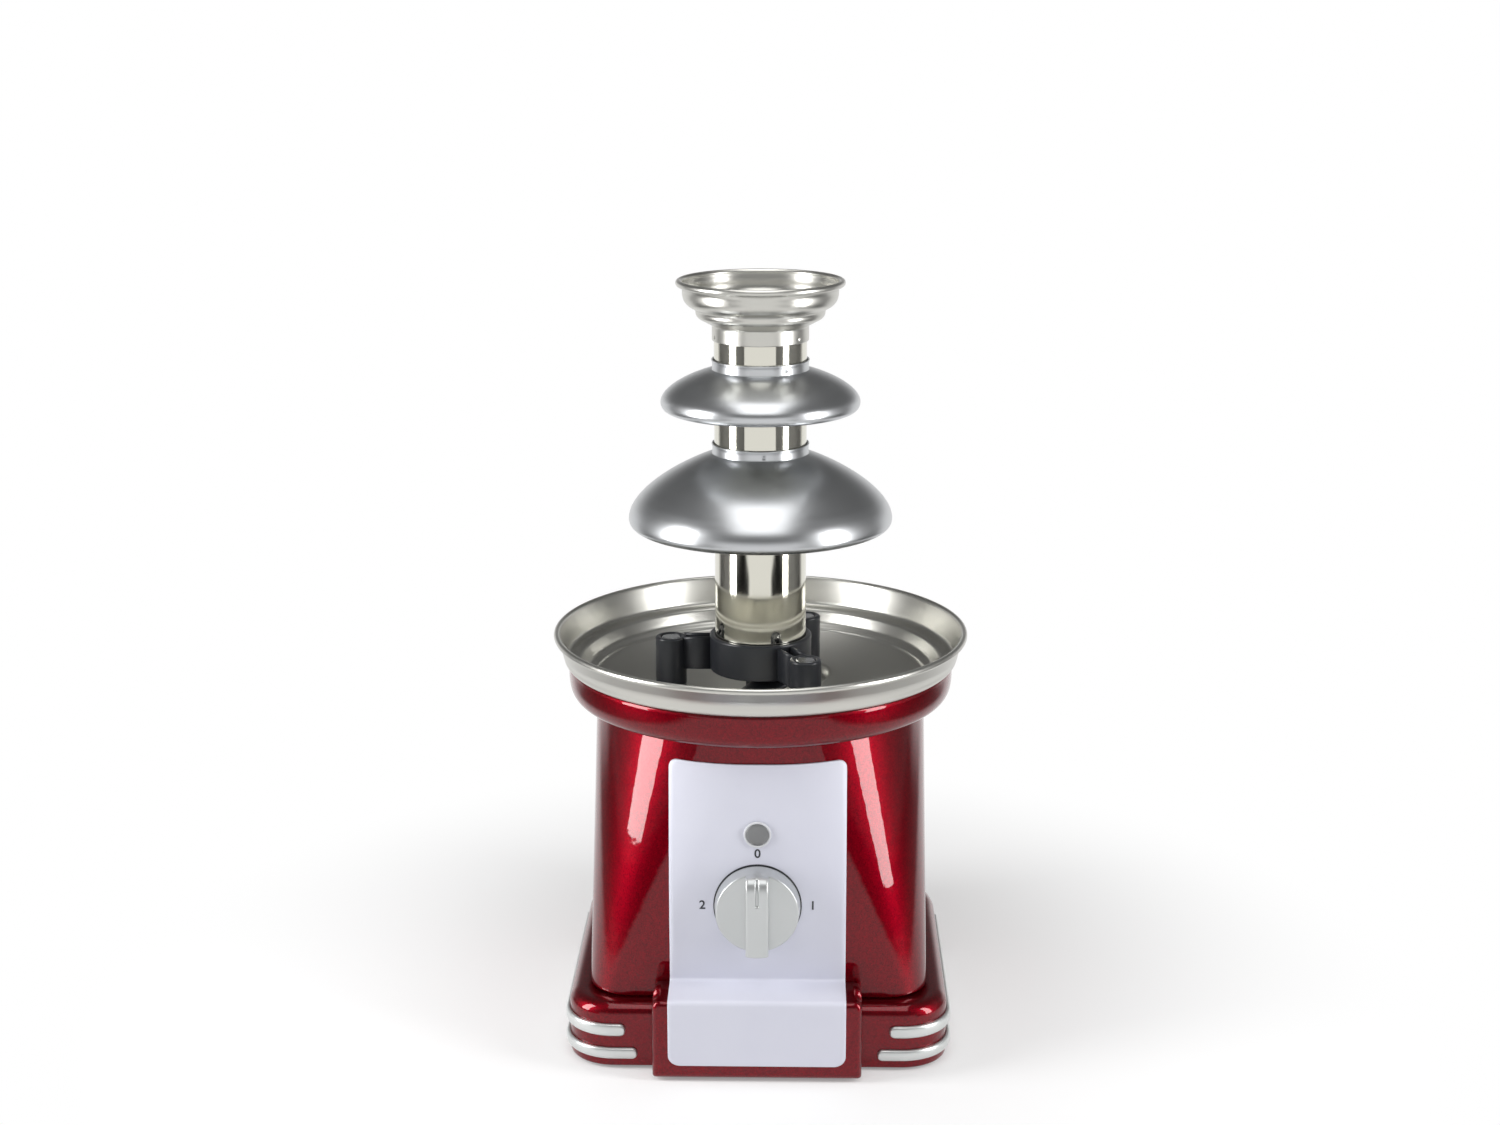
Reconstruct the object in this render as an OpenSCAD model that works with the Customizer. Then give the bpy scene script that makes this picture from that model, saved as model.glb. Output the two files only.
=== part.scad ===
// Home chocolate fountain: a heated bowl on a drive base, a lift-off tower and a screw pump.
// Millimetres. Z is up, the table is Z = 0, the drive axis is X = Y = 0 and the control panel faces -Y.

/* [Plinth] */
// Drop of the rubber feet below the plinth
foot_drop = 1.5; // [1:0.1:4]
// Diameter of a rubber foot
foot_d = 16; // [10:0.5:20]
// Height of the plinth
plinth_h = 30.5; // [26:0.5:45]
// Ledge of the plinth beside the body
ledge_side = 9.3; // [5:0.1:12]
// Ledge of the plinth in front of and behind the body
ledge_front = 10.5; // [7:0.5:14]
// Rounding of the plinth's upper edge
plinth_round = 6; // [3.5:0.5:7]
// Thickness of the bottom cover
cover_t = 2.5; // [2:0.1:4]

/* [Body] */
// Width of the body's foot
body_w = 160; // [150:1:180]
// Depth of the body's foot
body_d = 157; // [150:1:180]
// Height of the body
body_h = 128; // [115:1:150]
// Corner radius of the foot at the front
body_front_r = 20; // [14:1:30]
// Corner radius of the foot at the rear
body_rear_r = 40; // [30:1:50]
// Diameter of the body's round top
body_top_d = 159; // [150:1:175]
// Wall thickness of the mouldings
wall_t = 2.5; // [1.8:0.1:3]
// Height of the collar from the body's top to the bowl's ledge
collar_h = 15; // [12:0.5:24]

/* [Front box and panel] */
// Width of the front box
box_w = 97; // [88:1:110]
// Reach of the front box out of the plinth
box_out = 13; // [9:0.5:18]
// Height of the front box's top above the plinth's foot
box_h = 38.5; // [36:0.5:48]
// Width of the control panel
panel_w = 82; // [70:1:86]
// Thickness of the control panel
panel_t = 1.2; // [0.8:0.1:2]
// Distance of the panel's top edge below the body's top
panel_drop = 12; // [8:0.5:20]
// Height of the panel's lower edge above the plinth's foot
panel_foot = 7.5; // [4:0.5:12]
// Height of the knob's axis above the table
knob_z = 79; // [72:0.5:84]
// Diameter of the knob
knob_d = 40; // [30:0.5:44]
// Thickness of the knob's disc
knob_disc_t = 9; // [7:0.5:12]
// Height of the knob's grip bar above its disc
knob_bar_h = 11; // [8:0.5:13]
// Width of the grip bar
knob_bar_w = 10.5; // [8:0.5:14]
// Height of the lamp above the table
lamp_z = 114.3; // [110:0.1:122]
// Diameter of the lamp's lens
lamp_d = 10.5; // [8:0.1:14]

/* [Trim strips] */
// Height of the upper strips
upper_trim_h = 7; // [5:0.5:8]
// Height of the upper strips' lower edge above the plinth's foot
upper_trim_z = 15; // [13:0.5:17]
// Distance of the upper strips' front ends from the middle
upper_trim_x = 61.5; // [56:0.5:66]
// Height of the lower strips
lower_trim_h = 6.5; // [5:0.5:8]
// Height of the lower strips' lower edge above the plinth's foot
lower_trim_z = 3.5; // [2:0.5:5]
// Distance of the lower strips' front ends from the middle
lower_trim_x = 56; // [54:0.5:66]
// Thickness of the strips
trim_t = 2; // [1.5:0.1:3]

/* [Bowl] */
// Diameter of the rolled rim
bowl_d = 200; // [190:1:220]
// Thickness of the steel sheet
sheet_t = 1; // [0.7:0.1:1.3]
// Height of the rim above the ledge
bowl_wall_h = 14; // [11:0.5:20]
// Lean of the flared wall
bowl_flare = 3.2; // [2:0.1:6]
// Diameter of the rolled bead
bead_d = 3; // [2.4:0.1:4]
// Depth of the dished floor
dish_depth = 16; // [12:0.5:18]
// Diameter of the floor's flat middle
dish_flat_d = 28; // [26:1:34]

/* [Locating pins] */
// Diameter of the circle that the pins stand on
pin_circle_d = 87; // [82:1:94]
// Diameter of a pin
pin_d = 9.5; // [7:0.1:11]
// Length of a pin above its shoulder
pin_l = 24; // [18:0.5:30]
// Diameter of a pin's shoulder
shoulder_d = 15.6; // [12:0.1:18]
// Height of a pin's shoulder
shoulder_h = 9.2; // [7:0.1:12]
// Diameter of the flat seat pressed into the floor under a pin
pad_d = 22; // [20:0.5:24]

/* [Tower] */
// Outer diameter of a leg
leg_d = 15; // [13.4:0.1:17]
// Drop of the legs below the hub
leg_drop = 8.4; // [6:0.1:12]
// Outer diameter of the hub ring
hub_d = 49.3; // [48:0.1:54]
// Height of the hub ring
hub_h = 17.6; // [14:0.1:22]
// Width of a channel arm
arm_w = 8.6; // [7:0.1:11]
// Thickness of an arm's webs
web_t = 1.8; // [1.2:0.1:2.5]
// Outer diameter of the tube
tube_d = 44; // [43:0.1:46]
// Wall thickness of the tube and tiers
tube_t = 0.8; // [0.6:0.1:1]
// Diameter of the lower tier
lower_tier_d = 126; // [110:1:140]
// Height of the lower tier's rim above the legs' feet
lower_tier_z = 84; // [70:0.5:90]
// Rise of the lower tier's dome
lower_tier_rise = 31.4; // [24:0.1:36]
// Diameter of the upper tier
upper_tier_d = 94.6; // [84:0.1:104]
// Height of the upper tier's rim above the legs' feet
upper_tier_z = 140; // [134:0.5:148]
// Rise of the upper tier's dome
upper_tier_rise = 15.5; // [12:0.1:20]
// Height of the tiers' collars
tier_collar_h = 4.8; // [3:0.1:6]
// Diameter of the crown's rim
crown_d = 79.6; // [72:0.1:90]
// Height of the crown's rim above the legs' feet
crown_z = 197.8; // [194:0.1:206]

/* [Auger] */
// Outer diameter of the flight
auger_d = 40.4; // [38:0.1:41]
// Length of the auger
auger_l = 179.5; // [160:0.5:186]
// Diameter of the auger's core
core_d = 14.4; // [12:0.1:17]
// Pitch of the flight
auger_pitch = 35.2; // [28:0.1:44]
// Thickness of the flight at the core
flight_root = 13.4; // [9:0.1:16]
// Thickness of the flight at its edge
flight_tip = 1.4; // [1:0.1:2.5]

/* [Drive] */
// Diameter of the drive shaft
shaft_d = 8; // [7:0.1:9]
// Diameter of the drive stub above the shaft's shoulder
stub_d = 6.2; // [5.6:0.1:6.6]
// Width across the stub's two flats
stub_flats = 5.4; // [4.8:0.1:5.6]
// Length of the drive stub
stub_l = 18.5; // [14:0.5:24]
// Module of the gears
gear_module = 1; // [0.9:0.05:1.05]
// Teeth of the pinions
pinion_teeth = 18; // [18:1:20]
// Teeth of the wheels
wheel_teeth = 54; // [48:1:56]
// Width of the gears
gear_w = 7; // [5:0.5:9]
// Height of the chassis posts
post_h = 56; // [50:1:60]
// Diameter of the motor
motor_d = 36; // [30:0.5:38]
// Length of the motor
motor_l = 40; // [32:0.5:44]

/* [Clearances] */
// Gap between pieces that are fixed to each other
seat_gap = 0.05; // [0.02:0.01:0.1]
// Radial gap of a shaft in its bearing
run_gap = 0.05; // [0.02:0.01:0.1]
// Gap under a lift-off piece at rest
rest_gap = 0.2; // [0.1:0.05:0.4]
// Radial gap of the legs round the pins
leg_gap = 0.25; // [0.2:0.05:0.4]
// Gap between the knob and the panel
knob_gap = 0.5; // [0.3:0.1:1]
// Gap of the drive stub in the auger's socket
socket_gap = 0.3; // [0.2:0.05:0.4]
// Gap at the sides of a gear's teeth
backlash = 0.2; // [0.1:0.05:0.3]

/* [Hidden] */
$fn = 96;
// Overshoot of a cutting solid past the face that it cuts
cut = 1;
// Height of the straight edge at the foot and top of the body
loft_edge = 0.5;

// Plinth
plinth_w = body_w + 2 * ledge_side;
plinth_d = body_d + 2 * ledge_front;
corner_ledge = 2;
plinth_front_r = body_front_r + corner_ledge;
plinth_rear_r = body_rear_r + ledge_side;
plinth_seat_w = max(ledge_side, ledge_front) + wall_t + 2;
plinth_front_y = -plinth_d / 2;
z_cover_top = foot_drop + cover_t;
z_body = foot_drop + plinth_h;
foot_h = foot_drop + 1.2;
foot_side_in = 41.3;
foot_front_in = 27;
foot_rear_in = 31;
foot_x = plinth_w / 2 - foot_side_in;
foot_front_y = foot_front_in - plinth_d / 2;
foot_rear_y = plinth_d / 2 - foot_rear_in;
vent_w = 3;
vent_l = 32;
vent_pitch = 8;
vent_y = -12;

// Body and collar
body_top_r = body_top_d / 2;
z_body_top = z_body + body_h;
z_bowl_seat = z_body_top + collar_h;
collar_skirt = 2.5;
collar_gap = 0.3;
box_front_y = plinth_front_y - box_out;
z_box_top = foot_drop + box_h;
z_panel_top = z_body_top - panel_drop;
z_panel_foot = foot_drop + panel_foot;

// Screws
screw_d = 3;
thread_d = screw_d + 2 * seat_gap;
screw_head_d = 6;
screw_head_h = 1.4;
screw_hole_d = screw_d + 0.4;
close_hole_d = screw_d + 0.2;
head_hole_d = screw_head_d + 0.6;
screw_grip = 10;
boss_d = 10;
boss_sink = 1;
boss_flange_d = 1.4 * boss_d;
ear_gap = 0.5;
ear_d = boss_d - 2 * (boss_sink + ear_gap);
foot_boss_h = 16;
boss_end = 2;

// Bowl
bowl_r = bowl_d / 2;
bead_r = bead_d / 2;
wall_top_r = bowl_r - 1.1 * bead_d;
wall_foot_r = wall_top_r - bowl_flare;
dish_over = 0.5;
dish_lift = 4.05;
shoulder_least_w = 12;
dish_r = min(body_top_r + dish_over, wall_foot_r - shoulder_least_w);
shoulder_w = wall_foot_r - dish_r;
dish_flat_r = dish_flat_d / 2;
dish_steps = 10;
z_ledge = z_bowl_seat + seat_gap + sheet_t;
z_rim = z_ledge + bowl_wall_h;
z_dish_edge = z_body_top + wall_t + dish_lift;
shoulder_rise = z_ledge - z_dish_edge;
z_floor = z_dish_edge - dish_depth;
pin_circle_r = pin_circle_d / 2;
pad_r = pad_d / 2;
pin_angles = [180, 60, -60];
z_pad = dish_z(pin_circle_r - pad_r);
z_shoulder = z_pad + seat_gap + shoulder_h;
stud_d = 5;
stud_nut_flats = 8;
nut_h = 4;

// Shaft passage in the bowl
bush_d = 14;
bush_flange_d = 20;
bush_flange_t = 1.2;
bush_nut_flats = 20;
bush_l = bush_flange_t + sheet_t + nut_h + 1;
seal_d = 16;
seal_t = 1.5;
z_flange_top = z_floor + seat_gap + bush_flange_t;
z_shaft_shoulder = z_flange_top + seal_t + 0.8;

// Heater and shield
heater_tube_d = 6.4;
heater_r = pin_circle_r + pad_r + sheet_t + heater_tube_d / 2 + 2.5;
heater_gap_angle = 30;
heater_end_l = 12;
thermostat_d = 16;
thermostat_h = 9;
sensor_r = 27;
fuse_d = 6;
fuse_l = 14;
z_shield = z_floor - 15.5;
shield_t = 1;
shield_vent_r = 50;
shield_vent_d = 9;
shaft_room = 6;

// Gear train
pinion_r = gear_module * pinion_teeth / 2;
wheel_r = gear_module * wheel_teeth / 2;
pinion_tip_r = pinion_r + gear_module;
wheel_tip_r = wheel_r + gear_module;
centre_distance = pinion_r + wheel_r;
pressure_angle = 20;
idler_angle = 90;
motor_angle = 200;
idler_at = centre_distance * [cos(idler_angle), sin(idler_angle)];
motor_at = idler_at + centre_distance * [cos(motor_angle), sin(motor_angle)];
idler_pin_d = 5;
motor_shaft_d = 3;
motor_boss_d = 13;
motor_boss_h = 1.5;
motor_screw_pitch = 20;
motor_thread_l = 5;
motor_tail_d = 10;
motor_tail_h = 3;

// Gearbox
case_wall = 2;
case_floor = 2.5;
gear_gap = 1;
case_low = [motor_at[0] - pinion_tip_r, -wheel_tip_r] - (gear_gap + case_wall) * [1, 1];
case_high = [wheel_tip_r, idler_at[1] + wheel_tip_r] + (gear_gap + case_wall) * [1, 1];
case_round = 6;
case_boss_in = 5;
plate_t = 1.5;
plate_side = 10;
z_plate = z_cover_top + post_h;
z_case = z_plate + plate_t;
float_gap = 0.3;
z_low_gear = z_case + case_floor + 2 * float_gap;
z_high_gear = z_low_gear + gear_w + gear_gap;
z_lid = z_high_gear + gear_w + gear_gap;
lid_t = 2;
lid_bush_d = 12;
lid_flange_t = 1;
clip_t = 1;
post_d = 9;

// Knob, switch and lamp
knob_taper = 0.8;
knob_wall = 2.5;
groove_w = 1.6;
groove_deep = 0.8;
switch_w = 26;
switch_h = 24;
switch_depth = 18;
switch_neck_d = 9.5;
spindle_d = 6;
spindle_flat = 4.5;
switch_nut_flats = 13;
switch_nut_h = 2;
tab_w = 4.8;
tab_t = 0.8;
tab_l = 7;
lamp_neck_d = 9;
lamp_rim = 1.1;
lamp_body_l = 20;

// Mains connection
block_w = 36;
block_d = 14;
block_h = 13;
block_in = 33;
block_y = plinth_front_y + block_in;
gland_z = 17;
gland_d = 12;
gland_flange_d = 18;
gland_flange_t = 2;
gland_bore_d = 7.2;
gland_l = 10;

// Tower
z_tower = z_shoulder + rest_gap;
leg_bore_d = pin_d + 2 * leg_gap;
leg_h = pin_l + rest_gap;
z_hub = z_tower + leg_drop;
hub_lip = 2;
tube_r = tube_d / 2;
collar_r = tube_r + seat_gap + tube_t;
rim_curl_r = 4;
crown_depth = 21;
crown_collar = 7.5;
crown_bead_r = 1.55;
z_crown = z_tower + crown_z;
z_tube_top = z_crown - crown_depth;

// Auger
z_auger = z_shaft_shoulder + rest_gap;
auger_turn = 360 * auger_l / auger_pitch;
flight_root_angle = 180 * flight_root / auger_pitch;
flight_tip_angle = 180 * flight_tip / auger_pitch;
auger_phase = 235 - auger_turn;
flight_steps = 5;
core_steps = 12;
auger_slices = ceil(auger_turn / 15);
socket_end = 0.5;

function bezier(a, b, c, d, n) =
    [for (i = [0 : n]) let (t = i / n, s = 1 - t) s^3 * a + 3 * s^2 * t * b + 3 * s * t^2 * c + t^3 * d];
function arc(centre, r, from, to, n) =
    [for (i = [0 : n]) let (a = from + (to - from) * i / n) centre + r * [cos(a), sin(a)]];
function left_of(p, i) =
    let (d = p[min(i + 1, len(p) - 1)] - p[max(i - 1, 0)]) [-d[1], d[0]] / norm(d);
// Closed outline of a sheet of thickness t, laid on the left of the path p
function sheet(p, t) = concat(p, [for (i = [len(p) - 1 : -1 : 0]) p[i] + t * left_of(p, i)]);

// Upper surface of the bowl's dished floor at radius r
function dish_z(r) = z_floor + dish_depth * pow((r - dish_flat_r) / (dish_r - dish_flat_r), 2);
function dish_points() =
    [for (i = [0 : dish_steps])
        let (r = dish_flat_r + (dish_r - dish_flat_r) * i / dish_steps) [r, dish_z(r)]];
function dish_slope(r) = atan(2 * dish_depth * (r - dish_flat_r) / pow(dish_r - dish_flat_r, 2));
function pin_at(a) = pin_circle_r * [cos(a), sin(a)];
function pins_at() = [for (a = pin_angles) pin_at(a)];

// Share of the way from the body's square foot to its round top
function loft_share(z) = (z - z_body - loft_edge) / (body_h - 2 * loft_edge);
// Front face of the body at height z
function face_y(z) = -body_d / 2 - (body_top_r - body_d / 2) * loft_share(z);
// Lean of the front face
function face_lean() = atan((body_top_r - body_d / 2) / (body_h - 2 * loft_edge));
function corner_r(rear) = rear ? body_rear_r : body_front_r;
function corner_at(side, rear) =
    [side * (body_w / 2 - corner_r(rear)), (rear ? 1 : -1) * (body_d / 2 - corner_r(rear))];
// Centre of a boss of diameter d that grows out of the body's inner corner at height z
function corner_boss(side, rear, z, d) =
    let (t = loft_share(z), r = (1 - t) * corner_r(rear) + t * body_top_r)
    (1 - t) * corner_at(side, rear) + (r - wall_t - d / 2 + boss_sink) * sqrt(0.5) * [side, rear ? 1 : -1];
function base_bosses() =
    [for (side = [-1, 1], rear = [false, true]) corner_boss(side, rear, z_body + loft_edge, boss_d)];
function shield_bosses() =
    [for (side = [-1, 1], rear = [false, true]) corner_boss(side, rear, z_shield, boss_d)];
function case_bosses() =
    [for (x = [case_low[0] + case_boss_in, case_high[0] - case_boss_in])
        for (y = [case_low[1] + case_boss_in, case_high[1] - case_boss_in]) [x, y]];
function motor_screws_at() = [for (y = [-0.5, 0.5]) motor_at + [0, y * motor_screw_pitch]];
function posts() =
    [for (x = [case_low[0] - plate_side / 2, case_high[0] + plate_side / 2])
        for (y = [case_low[1] + case_round, case_high[1] - case_round]) [x, y]];

// Involute gear outline
function involute(a) = tan(a) * 180 / PI - a;
function tooth_half(teeth, r) =
    let (pitch_r = gear_module * teeth / 2, base_r = pitch_r * cos(pressure_angle))
    90 / teeth - backlash / 2 / pitch_r * 180 / PI + involute(pressure_angle)
        - (r > base_r ? involute(acos(base_r / r)) : 0);
function tooth_radii(teeth) =
    let (pitch_r = gear_module * teeth / 2)
    gear_module * [-1.25, -0.5, 0, 0.5, 1] + pitch_r * [1, 1, 1, 1, 1];
function polar(r, a) = r * [cos(a), sin(a)];
function gear_points(teeth) =
    let (radii = tooth_radii(teeth), last = len(radii) - 1)
    [for (i = [0 : teeth - 1])
        for (k = [-last - 1 : last])
            let (r = radii[k < 0 ? k + last + 1 : last - k], side = k < 0 ? -1 : 1)
            polar(r, 360 * i / teeth + side * tooth_half(teeth, r))];
// Turn of a pinion that meshes with a wheel of the given turn, seen from the wheel in the given direction
function mesh_turn(wheel_turn, direction) =
    direction + 180 + 180 / pinion_teeth + (direction - wheel_turn) * wheel_teeth / pinion_teeth;

// Rectangle from low to high with round corners
module rounded_rect(low, high, r) {
    translate(low + [r, 0]) square(high - low - [2 * r, 0]);
    translate(low + [0, r]) square(high - low - [0, 2 * r]);
    for (x = [low[0] + r, high[0] - r], y = [low[1] + r, high[1] - r]) translate([x, y]) circle(r);
}

// Plan of the plinth, drawn in by inset
module plinth_plan(inset) {
    w = plinth_w / 2 - inset;
    d = plinth_d / 2 - inset;
    f = plinth_front_r - inset;
    r = plinth_rear_r - inset;
    polygon([
        [w, f - d], [w, d - r], [w - r, d], [r - w, d], [-w, d - r], [-w, f - d], [f - w, -d], [w - f, -d]
    ]);
    for (side = [-1, 1]) {
        translate([side * (w - f), f - d]) circle(f);
        translate([side * (w - r), d - r]) circle(r);
    }
}

// Runs a section round the plinth: X = 0 of the section lies on the outline and -X points inwards
module round_plinth() {
    front_x = plinth_w / 2 - plinth_front_r;
    rear_x = plinth_w / 2 - plinth_rear_r;
    front_y = plinth_d / 2 - plinth_front_r;
    rear_y = plinth_d / 2 - plinth_rear_r;
    for (side = [0, 1]) mirror([side, 0, 0]) {
        translate([front_x, -front_y, 0]) rotate(-90) rotate_extrude(angle = 90)
            translate([plinth_front_r, 0]) children();
        translate([rear_x, rear_y, 0]) rotate_extrude(angle = 90)
            translate([plinth_rear_r, 0]) children();
        translate([plinth_w / 2, rear_y, 0]) rotate([90, 0, 0])
            linear_extrude(rear_y + front_y) children();
    }
    translate([front_x, -plinth_d / 2, 0]) rotate([90, 0, -90]) linear_extrude(2 * front_x) children();
    translate([-rear_x, plinth_d / 2, 0]) rotate([90, 0, 90]) linear_extrude(2 * rear_x) children();
}

// Bar of width w and height h on the left of X = 0, with its upper right corner rounded
module round_top_bar(w, h, r) {
    translate([-w, 0]) square([w, h - r]);
    translate([-w, 0]) square([w - r, h]);
    translate([-r, h - r]) circle(r);
}

// Square-to-round body, grown sideways by grow and past its ends by over
module body_loft(grow, over) {
    hull() {
        for (side = [-1, 1], rear = [false, true])
            translate(concat(corner_at(side, rear), [z_body - over]))
                cylinder(r = corner_r(rear) + grow, h = loft_edge + over, $fn = 64);
        translate([0, 0, z_body_top - loft_edge])
            cylinder(r = body_top_r + grow, h = loft_edge + over, $fn = 64);
    }
}

// Screws standing at the given places: head under z_head when head_up is false, above it when true
module screws(places, z_head, reach, head_up) {
    for (p = places) translate([p[0], p[1], z_head]) mirror([0, 0, head_up ? 0 : 1]) {
        cylinder(d = screw_head_d, h = screw_head_h);
        translate([0, 0, -reach]) cylinder(d = screw_d, h = reach + screw_head_h / 2);
    }
}

module bores(places, z_low, z_high, d) {
    for (p = places) translate([p[0], p[1], z_low]) cylinder(d = d, h = z_high - z_low);
}

module hex_nut(flats, h, bore) {
    difference() {
        cylinder(d = flats / cos(30), h = h, $fn = 6);
        translate([0, 0, -cut]) cylinder(d = bore, h = h + 2 * cut);
    }
}

// Round bar section with one flat (sides = 1) or two flats (sides = 2)
module flatted(d, flat, sides) {
    intersection() {
        circle(d = d);
        translate([-d, sides == 1 ? -d : -flat / 2])
            square([2 * d, sides == 1 ? d + flat - d / 2 : flat]);
    }
}

module ring(outer_d, inner_d, h) {
    difference() {
        cylinder(d = outer_d, h = h);
        translate([0, 0, -cut]) cylinder(d = inner_d, h = h + 2 * cut);
    }
}

// Places its children on the panel's front face at height z, with local Z pointing out of the panel
module on_panel(z) {
    translate([0, face_y(z) - panel_t, z]) rotate([90 + face_lean(), 0, 0]) children();
}

// Base

module feet_at() {
    for (x = [-foot_x, foot_x], y = [foot_front_y, foot_rear_y]) translate([x, y, 0]) children();
}

module rubber_feet() {
    color("#1c1c1e") feet_at() difference() {
        cylinder(d = foot_d, h = foot_h);
        translate([0, 0, -cut]) cylinder(d = screw_head_d, h = cut + foot_drop / 2);
    }
}

module bottom_cover() {
    color("#26262a") difference() {
        union() {
            translate([0, 0, foot_drop]) linear_extrude(cover_t) plinth_plan(wall_t + 2 * seat_gap);
            for (p = posts()) translate([p[0], p[1], z_cover_top - seat_gap])
                cylinder(d = post_d, h = post_h);
        }
        feet_at() cylinder(d = foot_d + 4 * seat_gap, h = foot_h + seat_gap);
        bores(base_bosses(), 0, z_cover_top + cut, screw_hole_d);
        bores(base_bosses(), 0, foot_drop + screw_head_h, head_hole_d);
        bores(posts(), z_plate - screw_grip - boss_end, z_plate + cut, thread_d);
        for (i = [-3 : 3]) translate([i * vent_pitch, vent_y, 0]) linear_extrude(z_cover_top + cut)
            rounded_rect([-vent_w, -vent_l] / 2, [vent_w, vent_l] / 2, vent_w / 2 - seat_gap);
    }
}

module base_screws() {
    color("#b9bcc0")
        screws(base_bosses(), foot_drop + screw_head_h, z_body + screw_grip - foot_drop, false);
}

module plinth() {
    color("#b30a1c") difference() {
        union() {
            translate([0, 0, foot_drop]) round_plinth() difference() {
                round_top_bar(plinth_seat_w, plinth_h, plinth_round);
                translate([-wall_t, -cut])
                    round_top_bar(plinth_seat_w, plinth_h - wall_t + cut, max(plinth_round - wall_t, 0.5));
            }
            for (p = base_bosses()) translate([p[0], p[1], z_cover_top + seat_gap]) {
                cylinder(d = boss_d, h = z_body - z_cover_top - seat_gap);
                translate([0, 0, z_body - z_cover_top - seat_gap - wall_t])
                    cylinder(d = boss_flange_d, h = wall_t);
            }
        }
        bores(base_bosses(), 0, z_body + cut, screw_hole_d);
        translate([0, plinth_d / 2 + cut, gland_z]) rotate([90, 0, 0])
            cylinder(d = gland_d + 2 * seat_gap, h = wall_t + 2 * cut);
    }
}

module front_box() {
    low = plinth_front_y - seat_gap;
    top_r = 2.5;
    color("#b30a1c") difference() {
        translate([0, 0, foot_drop]) linear_extrude(box_h)
            rounded_rect([-box_w / 2, box_front_y], [box_w / 2, -body_d / 2 + 2], 3);
        translate([-box_w, low, 0]) cube([2 * box_w, plinth_d, z_body + seat_gap]);
        body_loft(seat_gap, 0);
        translate([wall_t - box_w / 2, box_front_y + wall_t, 0])
            cube([box_w - 2 * wall_t, box_out + cut, z_box_top - wall_t]);
        for (side = [-1, 1])
            translate([side * box_w / 2, plinth_front_y + top_r, z_box_top]) rotate([0, 45, 0])
                cube([6, 2 * ledge_front, 6], center = true);
    }
}

module body_shell() {
    color("#b30a1c") difference() {
        union() {
            difference() {
                body_loft(0, 0);
                body_loft(-wall_t, cut);
            }
            intersection() {
                body_loft(-wall_t / 2, 0);
                union() {
                    bores(base_bosses(), z_body, z_body + foot_boss_h, boss_d);
                    bores(shield_bosses(), z_shield - foot_boss_h, z_shield, boss_d);
                }
            }
        }
        bores(base_bosses(), z_body - cut, z_body + foot_boss_h - boss_end, thread_d);
        bores(shield_bosses(), z_shield - foot_boss_h + boss_end, z_shield + cut, thread_d);
        on_panel(knob_z) translate([0, 0, -wall_t - panel_t - cut])
            cylinder(d = switch_neck_d + 2 * seat_gap, h = wall_t + panel_t + 2 * cut);
        on_panel(lamp_z) translate([0, 0, -wall_t - panel_t - cut])
            cylinder(d = lamp_neck_d + 2 * seat_gap, h = wall_t + panel_t + 2 * cut);
    }
}

module bowl_collar() {
    top_r = wall_foot_r - 0.5;
    foot_r = body_top_r + collar_gap + wall_t;
    z_foot = z_body_top - collar_skirt;
    z_top = z_bowl_seat;
    belly_r = foot_r + 0.95 * (top_r - foot_r);
    path = bezier([foot_r, z_foot], [belly_r, z_foot + 1], [top_r, z_top - 13], [top_r, z_top], 12);
    color("#b30a1c") rotate_extrude() {
        polygon(sheet(path, wall_t));
        intersection() {
            polygon(concat(path, [[0, z_top], [0, z_foot]]));
            translate([body_top_r - wall_t - 1, z_body_top + seat_gap])
                square([collar_h + wall_foot_r - body_top_r, wall_t]);
        }
    }
}

// Trim strips

module trim_section(h) {
    r = trim_t / 2;
    translate([seat_gap, 0]) square([trim_t - r, h]);
    translate([seat_gap, r]) square([trim_t, h - 2 * r]);
    for (z = [r, h - r]) translate([seat_gap + trim_t - r, z]) circle(r);
}

// Strip on the right-hand side: rounded front end at x, round the corner and along the side
module trim_strip(x, z, h) {
    centre = [plinth_w / 2 - plinth_front_r, plinth_front_r - plinth_d / 2];
    end_x = x + h / 2;
    lead = max(0, centre[0] - end_x);
    start = asin(max(0, end_x - centre[0]) / plinth_front_r);
    rear_y = plinth_d / 2 - plinth_rear_r;
    translate([0, 0, foot_drop + z]) {
        translate(centre) rotate(start - 90) rotate_extrude(angle = 90 - start)
            translate([plinth_front_r, 0]) trim_section(h);
        translate([plinth_w / 2, rear_y, 0]) rotate([90, 0, 0])
            linear_extrude(rear_y - centre[1]) trim_section(h);
        if (lead > 0)
            translate([centre[0], -plinth_d / 2, 0]) rotate([90, 0, -90])
                linear_extrude(lead) trim_section(h);
        translate(centre) rotate(start - 90) translate([plinth_front_r + seat_gap, -lead, h / 2])
            rotate([0, 90, 0]) cylinder(d = h, h = 0.8 * trim_t);
        translate([plinth_w / 2 + seat_gap, rear_y, h / 2])
            rotate([0, 90, 0]) cylinder(d = h, h = 0.8 * trim_t);
    }
}

module trim_upper_right() { color("#c6c9cb") trim_strip(upper_trim_x, upper_trim_z, upper_trim_h); }
module trim_upper_left() { mirror([1, 0, 0]) trim_upper_right(); }
module trim_lower_right() { color("#c6c9cb") trim_strip(lower_trim_x, lower_trim_z, lower_trim_h); }
module trim_lower_left() { mirror([1, 0, 0]) trim_lower_right(); }

// Controls

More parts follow.
